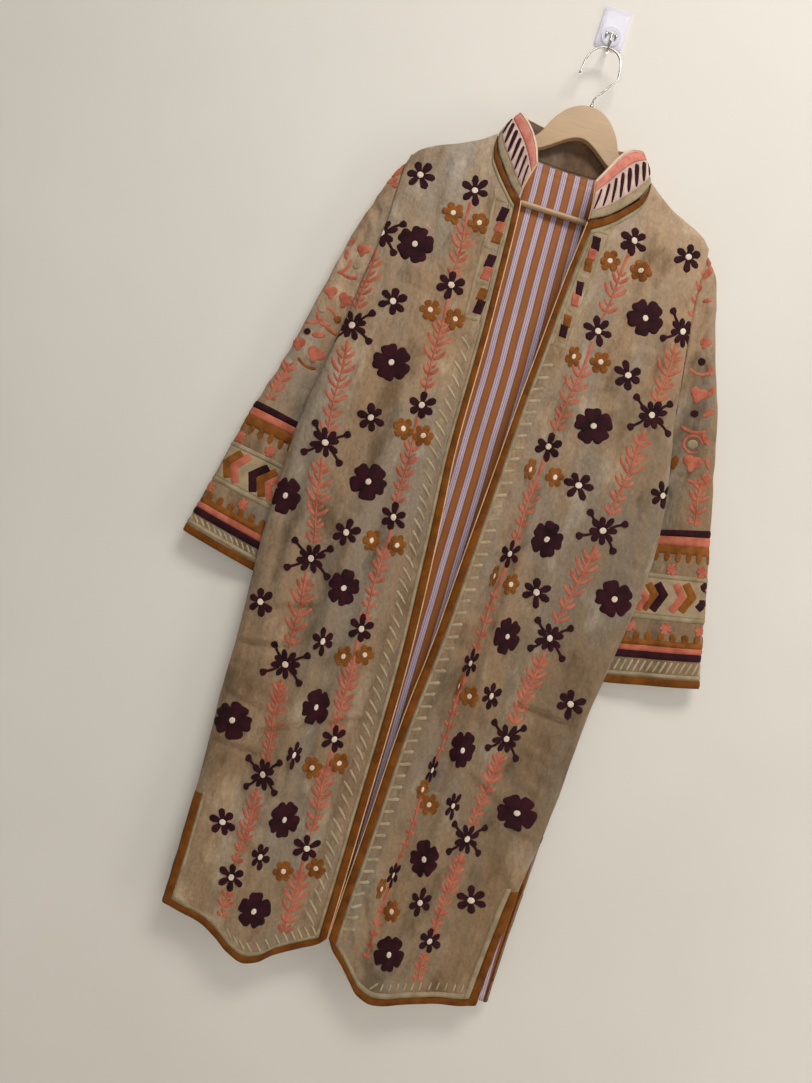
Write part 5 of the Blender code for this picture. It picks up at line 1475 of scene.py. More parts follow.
    def sprig(self, x0, z0, x1, z1, leaves_from, half, step):
        """A stem with curved leaf strokes that open upward."""
        r = self.rng
        n = 7
        t = np.linspace(0, 1, n)
        stem = np.stack([x0 + (x1 - x0) * t + 1.2 * np.sin(7 * t + x0), z0 + (z1 - z0) * t], axis=1)
        self.stroke(stem, 3.4, "coral", 0.9, widths=(5.6, 4.2, 3.2, 3.0, 2.8))
        step *= 1.30
        z, k = leaves_from, 0
        count = max(1, int((leaves_from - z1) / step))
        slope = (x1 - x0) / (z1 - z0)
        while z > z1 + 2:
            f = k / count
            w = half * (0.72 + 0.36 * math.sin(math.pi * min(f * 1.1 + 0.12, 1.0))) * r.uniform(0.9, 1.08)
            xs = x0 + slope * (z - z0)
            for sgn in (-1, 1):
                rise = w * r.uniform(0.86, 1.12)
                foot = (xs + sgn * 0.6, z - step * 0.55)
                pts = [foot, (xs + sgn * w * 0.42, z - step * 0.55 + rise * 0.26), (xs + sgn * w * 0.76, z - step * 0.55 + rise * 0.60),
                       (xs + sgn * w * r.uniform(0.93, 1.05), z - step * 0.55 + rise)]
                self.stroke(pts, 4.8, "coral", 0.9, widths=(4.0, 5.4, 5.2, 3.2))
                if half > 9 and r.uniform() < 0.9:
                    inner = [(xs + sgn * 0.8, z - step * 0.1), (xs + sgn * w * 0.34, z - step * 0.1 + rise * 0.30),
                             (xs + sgn * w * r.uniform(0.5, 0.64), z - step * 0.1 + rise * 0.66)]
                    self.stroke(inner, 3.4, "coral", 0.7, widths=(3.0, 3.8, 2.6))
                if half > 9 and r.uniform() < 0.5:
                    # a side hair near the leaf's tip
                    tip = pts[2]
                    hair = [tip, (tip[0] + sgn * r.uniform(2.5, 4.0), tip[1] - r.uniform(0.5, 2.5))]
                    self.stroke(hair, 2.6, "coral", 0.7)
            z -= step * r.uniform(0.92, 1.08)
            k += 1

    def block(self, x, z, wide, tall, colour, lean=0.0, high=1.2):
        n = 6
        e = np.linspace(-1, 1, n)
        top = [(v, 1.0) for v in e[::-1]]
        left = [(-1.0, v) for v in e[::-1][1:]]
        low = [(v, -1.0) for v in e[1:]]
        right = [(1.0, v) for v in e[1:-1]]
        p = np.array(top + left + low + right)
        p = p * (0.5 * wide, 0.5 * tall) * 1.0
        p[:, 0] += lean * p[:, 1]
        p += self.rng.normal(0, 0.25, p.shape)
        self.dome(p + (x, z), colour, high)

    def mark(self, kind, x, z, size, colour, turn):
        a = math.radians(turn)
        if kind == "dot":
            self.dome(self.local(self.petal(-size, size, size * 0.92, 0.4, 0.0), x, z, 0, 1.0), colour, 1.6)
        elif kind == "leaf":
            self.dome(self.local(self.petal(-size * 1.05, size * 1.05, size * 0.46, a, 0.15), x, z, 0, 1.0), colour, 1.1)
        elif kind == "heart":
            for s in (-1, 1):
                an = a + math.pi / 2 + s * 0.72
                self.dome(self.local(self.petal(-size * 0.4, size * 1.14, size * 0.52, an, 0.3), x, z, 0, 1.0), colour, 1.2)
            self.dome(self.local(self.petal(-size * 0.3, size * 0.72, size * 0.36, a - math.pi / 2, 0.0), x, z, 0, 1.0), colour, 1.2)
        elif kind == "arc":
            pts = [(size * v, size * 0.30 * (v * v - 0.4)) for v in (-1, -0.5, 0, 0.5, 1)]
            self.stroke(self.local(pts, x, z, turn, 1.0), 4.6, colour, 1.0)
        elif kind == "ring":
            pts = [(size * math.cos(f), size * math.sin(f)) for f in np.linspace(0.3, 5.6, 11)]
            self.stroke(self.local(pts, x, z, turn, 1.0), 4.0, colour, 0.9)

    def joined(self):
        return (np.concatenate(self.xz), np.concatenate(self.h), np.concatenate(self.uv),
                np.concatenate(self.faces), np.concatenate(self.colour))

    def mesh(self, name, out, face_out, good, uv, faces, colour, mats):
        """One mesh of the faces that lie whole on the skin, turned outward."""
        keep = good[faces].all(axis=1)
        A, B, C = out[faces[:, 0]], out[faces[:, 1]], out[faces[:, 2]]
        n = np.cross(B - A, C - A)
        area = 0.5 * np.linalg.norm(n, axis=1)
        reach = np.ptp(np.stack([A, B, C]), axis=0).max(axis=1)
        keep &= (area > 0.0008) & (reach < 16.0)
        wrong = np.sum(n * face_out[faces].sum(axis=1), axis=1) < 0
        faces = np.where(wrong[:, None], faces[:, ::-1], faces)[keep]
        colour = colour[keep]
        used = np.unique(faces)
        back = -np.ones(len(out), int)
        back[used] = np.arange(len(used))
        return mesh_from(name, out[used], [back[faces]], [colour], mats, uv[used])

    def lay(self, name, skins, mats, clamp=None):
        """Laid on a skin (or the first of several that is met), along y."""
        xz, h, uv, faces, colour = self.joined()
        out, face_out = np.zeros((len(xz), 3)), np.zeros((len(xz), 3))
        good = np.zeros(len(xz), bool)
        for i, (x, z) in enumerate(xz):
            got = None
            for skin in skins:
                got = skin.at(x, z)
                if got is None and clamp is not None:
                    lo, hi = clamp(z)
                    xc = min(max(x, lo), hi)
                    if abs(xc - x) < 3.0:
                        got = skin.at(xc, z)
                if got is not None:
                    break
            if got is not None:
                good[i] = True
                out[i] = np.array(got[0]) + np.array(got[1]) * h[i]
                face_out[i] = got[1]
        return self.mesh(name, out, face_out, good, uv, faces, colour, mats)

    def lay_grid(self, name, P, N, tu, tv, mats, su=1.0, wrap=0.0):
        """Laid on a grid by its own places, in mm along and down it."""
        xz, h, uv, faces, colour = self.joined()
        if wrap:
            P, N = np.concatenate([P, P[:1]]), np.concatenate([N, N[:1]])
            tu = np.append(tu, wrap)
        u, v = xz[:, 0] / su, xz[:, 1]
        if wrap:
            u = np.mod(u, wrap)
        good = (u >= tu[0]) & (u <= tu[-1]) & (v >= tv[0]) & (v <= tv[-1])
        i = np.clip(np.searchsorted(tu, u) - 1, 0, len(tu) - 2)
        j = np.clip(np.searchsorted(tv, v) - 1, 0, len(tv) - 2)
        f = np.clip((u - tu[i]) / (tu[i + 1] - tu[i]), 0, 1)[:, None]
        g = np.clip((v - tv[j]) / (tv[j + 1] - tv[j]), 0, 1)[:, None]
        four = lambda A: (A[i, j] * (1 - f) * (1 - g) + A[i + 1, j] * f * (1 - g) + A[i, j + 1] * (1 - f) * g + A[i + 1, j + 1] * f * g)
        face_out = unit(four(N))
        out = four(P) + face_out * h[:, None]
        return self.mesh(name, out, face_out, good, uv, faces, colour, mats)


# ------------------------------------------------------------------ collecting meshes
class Pile:
    """Meshes collected into one object."""

    def __init__(self):
        self.v, self.f, self.g, self.uv, self.n = [], [], [], [], 0

    def add(self, verts, faces, mat=0, uv=None):
        for f in (faces if isinstance(faces, (list, tuple)) else [faces]):
            f = np.asarray(f)
            if len(f):
                self.f.append(f + self.n)
                self.g.append(np.full(len(f), mat))
        self.v.append(np.asarray(verts, float))
        self.uv.append(np.zeros((len(verts), 2)) if uv is None else uv)
        self.n += len(verts)
        return self

    def make(self, name, mats):
        return outward(mesh_from(name, np.concatenate(self.v), self.f, self.g, mats, np.concatenate(self.uv)))


def tube(points, radius, sides=16):
    """A round tube along points, with rounded caps."""
    p = np.asarray(points, float)
    n = len(p)
    t = np.gradient(p, axis=0)
    t /= np.linalg.norm(t, axis=1, keepdims=True)
    r = np.broadcast_to(np.asarray(radius, float), (n,))
    a = np.cross(t[0], (0.31, 0.91, 0.22))
    dirs = []
    for i in range(n):
        a = a - t[i] * np.dot(a, t[i])
        a = a / np.linalg.norm(a)
        dirs.append(a)
    A = np.array(dirs)
    B = np.cross(t, A)
    # two more, smaller rings at each end round it off
    order = [(0, 0.45, -0.85), (0, 0.85, -0.45)] + [(i, 1.0, 0.0) for i in range(n)] + [(n - 1, 0.85, 0.45), (n - 1, 0.45, 0.85)]
    ang = np.linspace(0, 2 * math.pi, sides, endpoint=False)
    rings = []
    for i, k, off in order:
        c = p[i] + t[i] * off * r[i]
        rings.append(c + r[i] * k * (A[i] * np.cos(ang)[:, None] + B[i] * np.sin(ang)[:, None]))
    m = len(order)
    verts = np.concatenate(rings + [(p[0] - t[0] * r[0])[None], (p[-1] + t[-1] * r[-1])[None]])
    i = np.arange(m - 1)[:, None]
    s = np.arange(sides)[None, :]
    s1 = (s + 1) % sides
    q = np.stack([i * sides + s, i * sides + s1, (i + 1) * sides + s1, (i + 1) * sides + s], axis=-1).reshape(-1, 4)
    k = np.arange(sides)
    k1 = (k + 1) % sides
    first = np.stack([k1, k, np.full(sides, m * sides)], axis=-1)
    last = np.stack([(m - 1) * sides + k, (m - 1) * sides + k1, np.full(sides, m * sides + 1)], axis=-1)
    along = np.concatenate([[0, 0], np.concatenate([[0], np.cumsum(np.linalg.norm(np.diff(p, axis=0), axis=1))])])
    along = np.concatenate([along, [along[-1], along[-1]]])
    uv = np.stack([np.repeat(along, sides), np.tile(ang, m) * float(np.mean(r))], axis=1)
    uv = np.concatenate([uv, [[0, 0], [along[-1], 0]]])
    return verts, [q, first, last], uv


def strip(P, N, raised, cells, uv, sink=0.05):
    """Some of a skin's cells, raised by a height field, with walls down to the skin."""
    ni, nj = P.shape[:2]
    wrap = cells.shape[0] == ni
    top = P + N * raised[..., None]
    low = P + N * sink
    used = np.zeros((ni, nj), bool)
    ci, cj = np.nonzero(cells)
    for di in (0, 1):
        for dj in (0, 1):
            used[(ci + di) % ni, cj + dj] = True
    idx = -np.ones((ni, nj), int)
    n = int(used.sum())
    idx[used] = np.arange(n)
    i1 = (ci + 1) % ni
    fa = np.stack([idx[ci, cj], idx[i1, cj], idx[i1, cj + 1], idx[ci, cj + 1]], axis=-1)
    rims = []
    for (di, dj), (p, q) in (((0, -1), (0, 1)), ((1, 0), (1, 2)), ((0, 1), (2, 3)), ((-1, 0), (3, 0))):
        ii, jj = ci + di, cj + dj
        if wrap:
            ii = ii % ni
        inside = (ii >= 0) & (ii < cells.shape[0]) & (jj >= 0) & (jj < nj - 1)
        other = np.zeros(len(ci), bool)
        other[inside] = cells[ii[inside], jj[inside]]
        f = fa[~other]
        rims.append(np.stack([f[:, q], f[:, p], f[:, p] + n, f[:, q] + n], axis=-1))
    verts = np.concatenate([top[used], low[used]])
    return verts, [fa, fa[:, ::-1] + n, np.concatenate(rims)], np.concatenate([uv[used]] * 2)


def crown(s):
    """Height across a braid, 0 to 1 from edge to edge, none outside."""
    return np.where((s >= -1e-6) & (s <= 1 + 1e-6), 0.30 + 0.70 * (1 - np.abs(2 * np.clip(s, 0, 1) - 1) ** 3), 0.0)


def unit(V):
    return V / np.maximum(np.linalg.norm(V, axis=-1, keepdims=True), 1e-9)


def ready(ob, node=None):
    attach(ob, "root")
    if node:
        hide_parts(node)
    return ob


# ------------------------------------------------------------------ materials in use
VELVET = velvet_material("velvet taupe", lin((180, 159, 134)), lin((150, 127, 102)), lin((116, 95, 72)))
# painted shade: a slightly darker copy of the velvet for the rims at the cloth's edges
VELVET_SHADED_RIM = velvet_material("velvet fold", lin((174, 153, 128)), lin((144, 121, 96)), lin((112, 91, 69)))
# painted shade: a darker copy of the robe's velvet for the collar's inside
SHADED_FACING_VELVET = velvet_material("collar facing velvet", lin((138, 112, 90)), lin((110, 87, 68)), lin((80, 62, 48)), 0.0)
LINING_CLOTH = lining_material("striped lining")
BRAID_OCHRE = braid_material("ochre braid", lin((126, 71, 13)), lin((88, 46, 6)))
PIPING = plain_cloth("peach piping", lin((226, 186, 148)), lin((196, 150, 112)))
COLLAR_CLOTH = plain_cloth("collar cloth", lin((208, 180, 166)), lin((184, 154, 142)))
WOOD = wood_material("pale lotus wood")
STEEL = steel_material("plated steel")
DARK_STEEL = steel_material("shaded steel")
CLEAR = clear_material("cloudy clear plastic", (218, 215, 228))
THREAD_MATS = [thread_material(k + " thread", lin(a), lin(b)) for k, (a, b) in THREADS.items()]
COLOUR = {k: i for i, k in enumerate(THREADS)}

skins, sheets = {}, {}


# ------------------------------------------------------------------ the fronts
def thin_line(pile, D, M, tu, tv, cells, s, colour, high=0.75):
    """A line of stitching that follows the panel's own columns and rows."""
    U, V = np.meshgrid(tu, tv, indexing="ij")
    pile.add(*strip(D, M, 0.12 + high * crown(s), cells, np.stack([U, V], axis=-1))[:2], COLOUR[colour],
             strip(D, M, 0.12 + high * crown(s), cells, np.stack([V, U], axis=-1))[2])


def make_front(side):
    name = "front_" + side
    P, square = front_grid(side)
    if side == "right":
        P, square = P[::-1], square[::-1]
    out = -1.0 if side == "left" else 1.0
    N = normals(P, False)
    if N[7, 11, 1] > 0:
        N = -N
    N = even_out(N, square, 1)
    N[0:2, 0:2] = np.array((out, 0.0, 1.0)) / math.sqrt(2.0)
    ku, kv = spread(P, 0), spread(P, 1)
    UE, VE = ku[-1], kv[-1]
    ob_w, hem_w = OPENING_BRAID, 9.6
    slit_l, hem_l, neck_e = (4.2, 4.6, 3.8) if side == "left" else (8.2, 7.2, 3.8)
    nk = kv[3] + neck_e
    a = UE - ob_w - 0.8
    tu = places(ku, 2.7, (ku[3], ku[3] + 0.8, ku[3] + 0.8 + slit_l, UE - ob_w, a, a - 5.2, a - 9.4))
    tv = places(kv, 4.6, (kv[1], nk, nk + 0.6, nk + 9.2, VE - hem_w, VE - hem_w - 0.8, VE - hem_w - 0.8 - hem_l))
    D = resample(resample(P, 0, ku, tu), 1, kv, tv)
    M = unit(resample(resample(N, 0, ku, tu), 1, kv, tv))
    U, V = np.meshgrid(tu, tv, indexing="ij")
    near = np.minimum(U, UE - U)
    D = D + M * (creased(name, D, M) * (0.35 + 0.65 * ease(near / 14.0)) * (0.3 + 0.7 * ease(V / 24.0)))[..., None]
    # the opening's braid is wider below the chest, so its columns move there
    extra = 4.0 * ease((-D[-1, :, 2] - 520.0) / 320.0)
    share = np.where(tu < UE - ob_w, ease((tu - (UE - 66.0)) / 46.0), np.clip((UE - tu) / ob_w, 0, 1))
    T = tu[:, None] - extra[None, :] * share[:, None]
    over = lambda A: np.stack([np.stack([np.interp(T[:, j], tu, A[:, j, k]) for j in range(A.shape[1])], axis=1)
                               for k in range(3)], axis=-1)
    D, M = over(D), unit(over(M))
    shell_ob = ready(shell(name, D, D - M * CLOTH, [VELVET, LINING_CLOTH, VELVET_SHADED_RIM]), name)
    # braid along the neck, the opening, the hem and the slit, crowned
    um, vm = 0.5 * (tu[:-1] + tu[1:])[:, None], 0.5 * (tv[:-1] + tv[1:])[None, :]
    Zm = 0.25 * (D[1:, 1:, 2] + D[:-1, 1:, 2] + D[1:, :-1, 2] + D[:-1, :-1, 2])
    opening = (um > UE - ob_w) & (vm > kv[1])
    hem = (vm > VE - hem_w) & (um > 0)
    neck = (um > ku[9]) & (vm > 0) & (vm < nk)
    slit = (um < ku[3]) & (Zm < SLIT_Z) & (vm > 0)
    s_open, s_hem = (U - (UE - ob_w)) / ob_w, (V - (VE - hem_w)) / hem_w
    s_neck = np.where(U >= ku[9] - 1e-6, V / nk, -1.0)
    s_slit = np.where(D[..., 2] < SLIT_Z + 6, U / ku[3], -1.0)
    high = 0.25 + 0.95 * np.maximum.reduce([crown(s_open), crown(s_hem), crown(s_neck), crown(s_slit)])
    level = np.maximum(crown(s_hem), crown(s_neck)) > np.maximum(crown(s_open), crown(s_slit))
    uv = np.where(level[..., None], np.stack([U, V], axis=-1), np.stack([V, U], axis=-1))
    pile = Pile()
    v, f, w = strip(D, M, high, opening | hem | neck | slit, uv)
    pile.add(v, f, 0, w)
    braid = ready(pile.make("braid_front_" + side, [BRAID_OCHRE]), "braid_front_" + side)
    # thin piping where the velvet turns over the lining
    j0 = int(np.searchsorted(tv, kv[1]))
    edge = D[-1, j0:] - M[-1, j0:] * 0.9 + unit(D[-1, j0:] - D[-2, j0:]) * 0.7
    piping = Pile().add(*[tube(edge[::1], 1.05, 8)[k] for k in (0, 1)], 0, tube(edge[::1], 1.05, 8)[2])
    piping_ob = ready(piping.make("piping_front_" + side, [PIPING]))
    # sage lines inside the braid
    lines = Pile()
    body = (vm > nk + 9.2) & (vm < VE - hem_w - 0.8)
    high_up = (Zm > -466.0)
    wide = np.where(D[..., 2] > -470.0, 9.4, 5.2)
    h0 = VE - hem_w - 0.8 - hem_l
    for cells, s in (((um < a) & (um > a - 5.2) & body, (U - (a - wide)) / wide),
                     ((um < a - 5.2) & (um > a - 9.4) & body & high_up, (U - (a - 9.4)) / 9.4),
                     ((um > ku[3] + 0.8) & (um < ku[3] + 0.8 + slit_l) & (Zm < SLIT_Z + 4) & (vm < VE - hem_w - 0.8),
                      (U - ku[3] - 0.8) / slit_l),
                     ((vm < VE - hem_w - 0.8) & (vm > h0) & (um > ku[3] + 0.8 + slit_l) & (um < a - 5.2), (V - h0) / hem_l),
                     ((vm > nk + 0.6) & (vm < nk + 9.2) & (um > ku[9]) & (um < a), (V - nk - 0.6) / 8.6)):
        thin_line(lines, D, M, tu, tv, cells, s, "sage")
    line_ob = ready(lines.make("sage_lines_front_" + side, THREAD_MATS))
    skins[name] = Skin(D, M, look=1.0)
    skins[name + "_grid"] = (D, M, tu, tv, kv)
    sheets[name] = [shell_ob, braid, piping_ob, line_ob]


# ------------------------------------------------------------------ the back
def make_back():
    P, square = back_grid()
    N = normals(P, False)
    if N[9, 12, 1] < 0:
        N = -N
    N = even_out(N, square, 1)
    N[:2, 0:2] = np.array((-1.0, 0.0, 1.0)) / math.sqrt(2.0)
    N[-2:, 0:2] = np.array((1.0, 0.0, 1.0)) / math.sqrt(2.0)
    ku, kv = spread(P, 0), spread(P, 1)
    ni = P.shape[0]
    UE, VE, hem_w = ku[-1], kv[-1], 9.6
    r0 = ku[ni - 4]
    tu = places(ku, 4.5, (ku[3], ku[3] + 0.8, ku[3] + 7.0, r0, r0 - 0.8, r0 - 7.0))
    tv = places(kv, 6.4, (kv[2], kv[3], VE - hem_w, VE - hem_w - 0.8, VE - hem_w - 7.0))
    D = resample(resample(P, 0, ku, tu), 1, kv, tv)
    M = unit(resample(resample(N, 0, ku, tu), 1, kv, tv))
    U, V = np.meshgrid(tu, tv, indexing="ij")
    near = np.minimum(U, UE - U)
    D = D + M * (creased("back", D, M) * (0.35 + 0.65 * ease(near / 14.0)) * (0.3 + 0.7 * ease(V / 24.0)))[..., None]
    shell_ob = ready(shell("back", D, D - M * CLOTH, [VELVET, LINING_CLOTH, VELVET_SHADED_RIM]), "back")
    um, vm = 0.5 * (tu[:-1] + tu[1:])[:, None], 0.5 * (tv[:-1] + tv[1:])[None, :]
    Zm = 0.25 * (D[1:, 1:, 2] + D[:-1, 1:, 2] + D[1:, :-1, 2] + D[:-1, :-1, 2])
    hem = (vm > VE - hem_w) & (um > 0)
    slits = ((um < ku[3]) | (um > r0)) & (Zm < SLIT_Z)
    s_hem = (V - (VE - hem_w)) / hem_w
    low = D[..., 2] < SLIT_Z + 6
    s_l = np.where(low, U / ku[3], -1.0)
    s_r = np.where(low, (U - r0) / (UE - r0), -1.0)
    high = 0.25 + 0.95 * np.maximum.reduce([crown(s_hem), crown(s_l), crown(s_r)])
    level = crown(s_hem) > np.maximum(crown(s_l), crown(s_r))
    uv = np.where(level[..., None], np.stack([U, V], axis=-1), np.stack([V, U], axis=-1))
    pile = Pile()
    v, f, w = strip(D, M, high, hem | slits, uv)
    pile.add(v, f, 0, w)
    # a narrow binding on the inner side of the slits, where the lining ends
    E, W = D - M * CLOTH, -M
    inner = ((um < ku[3] * 0.8) | (um > UE - (UE - r0) * 0.8)) & (Zm < SLIT_Z + 10)
    v, f, w = strip(E, W, 0.15 + 0.6 * np.maximum(crown(U / (ku[3] * 0.8)), crown((UE - U) / ((UE - r0) * 0.8))), inner,
                    np.stack([V, U], axis=-1))
    pile.add(v, f, 0, w)
    braid = ready(pile.make("braid_back", [BRAID_OCHRE]), "braid_back")
    lines = Pile()
    for cells, s in (((um > ku[3] + 0.8) & (um < ku[3] + 7.0) & (Zm < SLIT_Z + 4) & (vm < VE - hem_w - 0.8), (U - ku[3] - 0.8) / 6.2),
                     ((um < r0 - 0.8) & (um > r0 - 7.0) & (Zm < SLIT_Z + 4) & (vm < VE - hem_w - 0.8), (U - r0 + 7.0) / 6.2),
                     ((vm < VE - hem_w - 0.8) & (vm > VE - hem_w - 7.0) & (um > ku[3] + 7.0) & (um < r0 - 7.0), (V - (VE - hem_w - 7.0)) / 6.2)):
        thin_line(lines, D, M, tu, tv, cells, s, "sage")
    line_ob = ready(lines.make("sage_lines_back", THREAD_MATS))
    skins["back"] = Skin(D, M, look=-1.0)
    skins["back_grid"] = (D, M, tu, tv, kv)
    sheets["back"] = [shell_ob, braid, line_ob]
    # striped lining inside the back
    a, b = 4, ni - 4
    Q, W = P[a:b, 3:-1], N[a:b, 3:-1]
    Q = Q - W * (CLOTH + GAP)
    lu, lv = spread(Q, 0), spread(Q, 1)
    su, sv = places(lu, 5.6), places(lv, 8.5)
    G = resample(resample(Q, 0, lu, su), 1, lv, sv)
    H = unit(resample(resample(W, 0, lu, su), 1, lv, sv))
    x, z = G[..., 0], G[..., 2]
    loose = 0.9 * (1 + np.sin(x / 17.0 + 0.9 * np.sin(z / 70.0)) * np.sin(z / 160.0 + 1.0)) + 0.6 * (1 + np.sin(x / 44.0 + z / 90.0))
    rim = np.minimum.reduce([np.minimum(*np.meshgrid(su, sv, indexing="ij")), (su[-1] - su)[:, None] + 0 * x, (sv[-1] - sv)[None, :] + 0 * x])
    G = G - H * (loose * ease(rim / 12.0))[..., None]
    lining = ready(shell("lining_back", G, G - H * LINING, [LINING_CLOTH, LINING_CLOTH, LINING_CLOTH]), "lining_back")
    sheets["lining_back"] = [lining]


# ------------------------------------------------------------------ the sleeves
def make_sleeve(side):
    name = "sleeve_" + side
    P, Q = sleeve_skin(side, 0.0), sleeve_skin(side, CLOTH)
    pad = lambda A: np.concatenate([A[-3:], A, A[:4]])
    kp = spread(pad(P), 0)
    total = kp[3 + 20] - kp[3]
    kv = spread(P, 1)
    outer_z = P[0, :, 2]
    where = lambda z: float(np.interp(-z, -outer_z, kv))
    top, low = side + "_top", side + "_low"
    bands = [dict(zip(BAND_COLS, b)) for b in BANDS]
    marks = sorted({where(b[k]) for b in bands for k in (top, low)})
    first = where(bands[0][top])
    upper = places(kv[:1].tolist() + [first], 4.8)
    lower = places([0.0, kv[-1] - first], 2.9, [m - first for m in marks[1:]] + [kv[-2] - first]) + first
    tv = np.concatenate([upper[:-1], lower])
    tu = np.linspace(0.0, total, 85)[:-1]
    both = []
    for A in (P, Q):
        B = resample(pad(A), 0, kp, kp[3] + tu)
        both.append(resample(B, 1, kv, tv))
    D, E = both
    M = unit(D - E)
    U, V = np.meshgrid(tu, tv, indexing="ij")
    x, z = D[..., 0], D[..., 2]
    move = creased(name, D, M)
    half = total * 0.5
    behind = (U > half * 1.02) & (U < total * 0.985)
    move = np.where(behind, -0.45 * move, move) * (0.25 + 0.75 * ease(V / 26.0))
    move = move * np.where(V > kv[-2], 0.5, 1.0)
    D, E = D + M * move[..., None], E + M * move[..., None]
    D[..., 1] = np.minimum(D[..., 1], -3.2)
    E[..., 1] = np.minimum(E[..., 1], -5.0)
    sleeve = ready(shell(name, D, E, [VELVET, LINING_CLOTH, VELVET_SHADED_RIM], wrap=True), name)
    N = normals(D, True)
    if np.sum(N * M) < 0:
        N = -N
    vm = 0.5 * (tv[:-1] + tv[1:])[None, :] + np.zeros((len(tu), 1))
    uv = np.stack([U, V], axis=-1)
    v, f, w = strip(D, N, 0.25 + 0.95 * crown((V - kv[-2]) / (kv[-1] - kv[-2])), vm > kv[-2], uv)
    cuff = ready(Pile().add(v, f, 0, w).make("braid_cuff_" + side, [BRAID_OCHRE]), "braid_cuff_" + side)
    pile = Pile()
    for b in bands:
        v0, v1 = where(b[top]), where(b[low])
        cells = (vm > v0) & (vm < v1)
        v, f, w = strip(D, N, 0.15 + 1.0 * crown((V - v0) / (v1 - v0)), cells, uv)
        pile.add(v, f, COLOUR[b["colour"]], w)
    # the chevron row is filled with flat stitching between the sage lines
    v0, v1 = where(bands[3][low]), where(bands[4][top])
    ribs = 0.5 + 0.5 * np.abs(np.sin((V - v0) * math.pi / 4.2))
    v, f, w = strip(D, N, 0.12 + 0.28 * ribs, (vm > v0) & (vm < v1), uv)
    pile.add(v, f, COLOUR["moss"], w)
    band_ob = ready(pile.make("bands_" + name, THREAD_MATS))
    # teeth beside the ochre bands and ticks above the hem, all round
    ring = np.linalg.norm(np.diff(np.vstack([D[:, -12], D[:1, -12]]), axis=0), axis=1).sum()
    su = ring / total
    n = int(round(ring / 16.6))
    e = Embroidery(31 if side == "left" else 37)
    z_of = lambda zz: where(zz)
    for k in range(n):
        u = (k + 0.35) * ring / n
        shift = -11.0 if side == "left" else -12.0
        a0, a1 = (z_of(-688.0), z_of(-699.5)) if side == "left" else (z_of(-671.5), z_of(-683.0))
        e.dome(e.petal(-0.5 * (a1 - a0) - 1.6, 0.5 * (a1 - a0) + 1.2, 4.5, math.pi / 2, -0.12) + (u, 0.5 * (a0 + a1)), "ochre", 1.2)
        b0, b1 = (z_of(-793.0), z_of(-804.0)) if side == "left" else (z_of(-781.0), z_of(-792.0))
        e.dome(e.petal(-0.5 * (b1 - b0) - 0.6, 0.5 * (b1 - b0) + 1.4, 4.6, math.pi / 2, 0.0) + (u + 8.3, 0.5 * (b0 + b1)), "ochre", 1.2)
        if k % 3 == 0:
            c0 = z_of(-709.0) if side == "left" else z_of(-695.0)
            e.rosette(u + 8.3 + e.rng.uniform(-3, 3), c0, 8.6)
            c1 = z_of(-787.5) if side == "left" else z_of(-775.0)
            e.rosette(u + 3.0 + e.rng.uniform(-3, 3), c1, 8.2)
    t0, t1 = (z_of(-831.5), z_of(-838.8)) if side == "left" else (z_of(-818.5), z_of(-834.0))
    m = int(round(ring / 9.0))
    for k in range(m):
        u = (k + 0.5) * ring / m
        lean = 4.5 if u < ring * 0.5 else -4.5
        e.stroke([(u - lean, t0), (u + lean, t1)], 3.2, "tick", 0.9)
    ticks = ready(e.lay_grid("teeth_" + name, D, N, tu, tv, THREAD_MATS, su, total))
    skins[name] = Skin(D, N, True, 1.0)
    skins[name + "_back"] = Skin(D, N, True, -1.0)
    sheets[name] = [sleeve, cuff, band_ob, ticks]


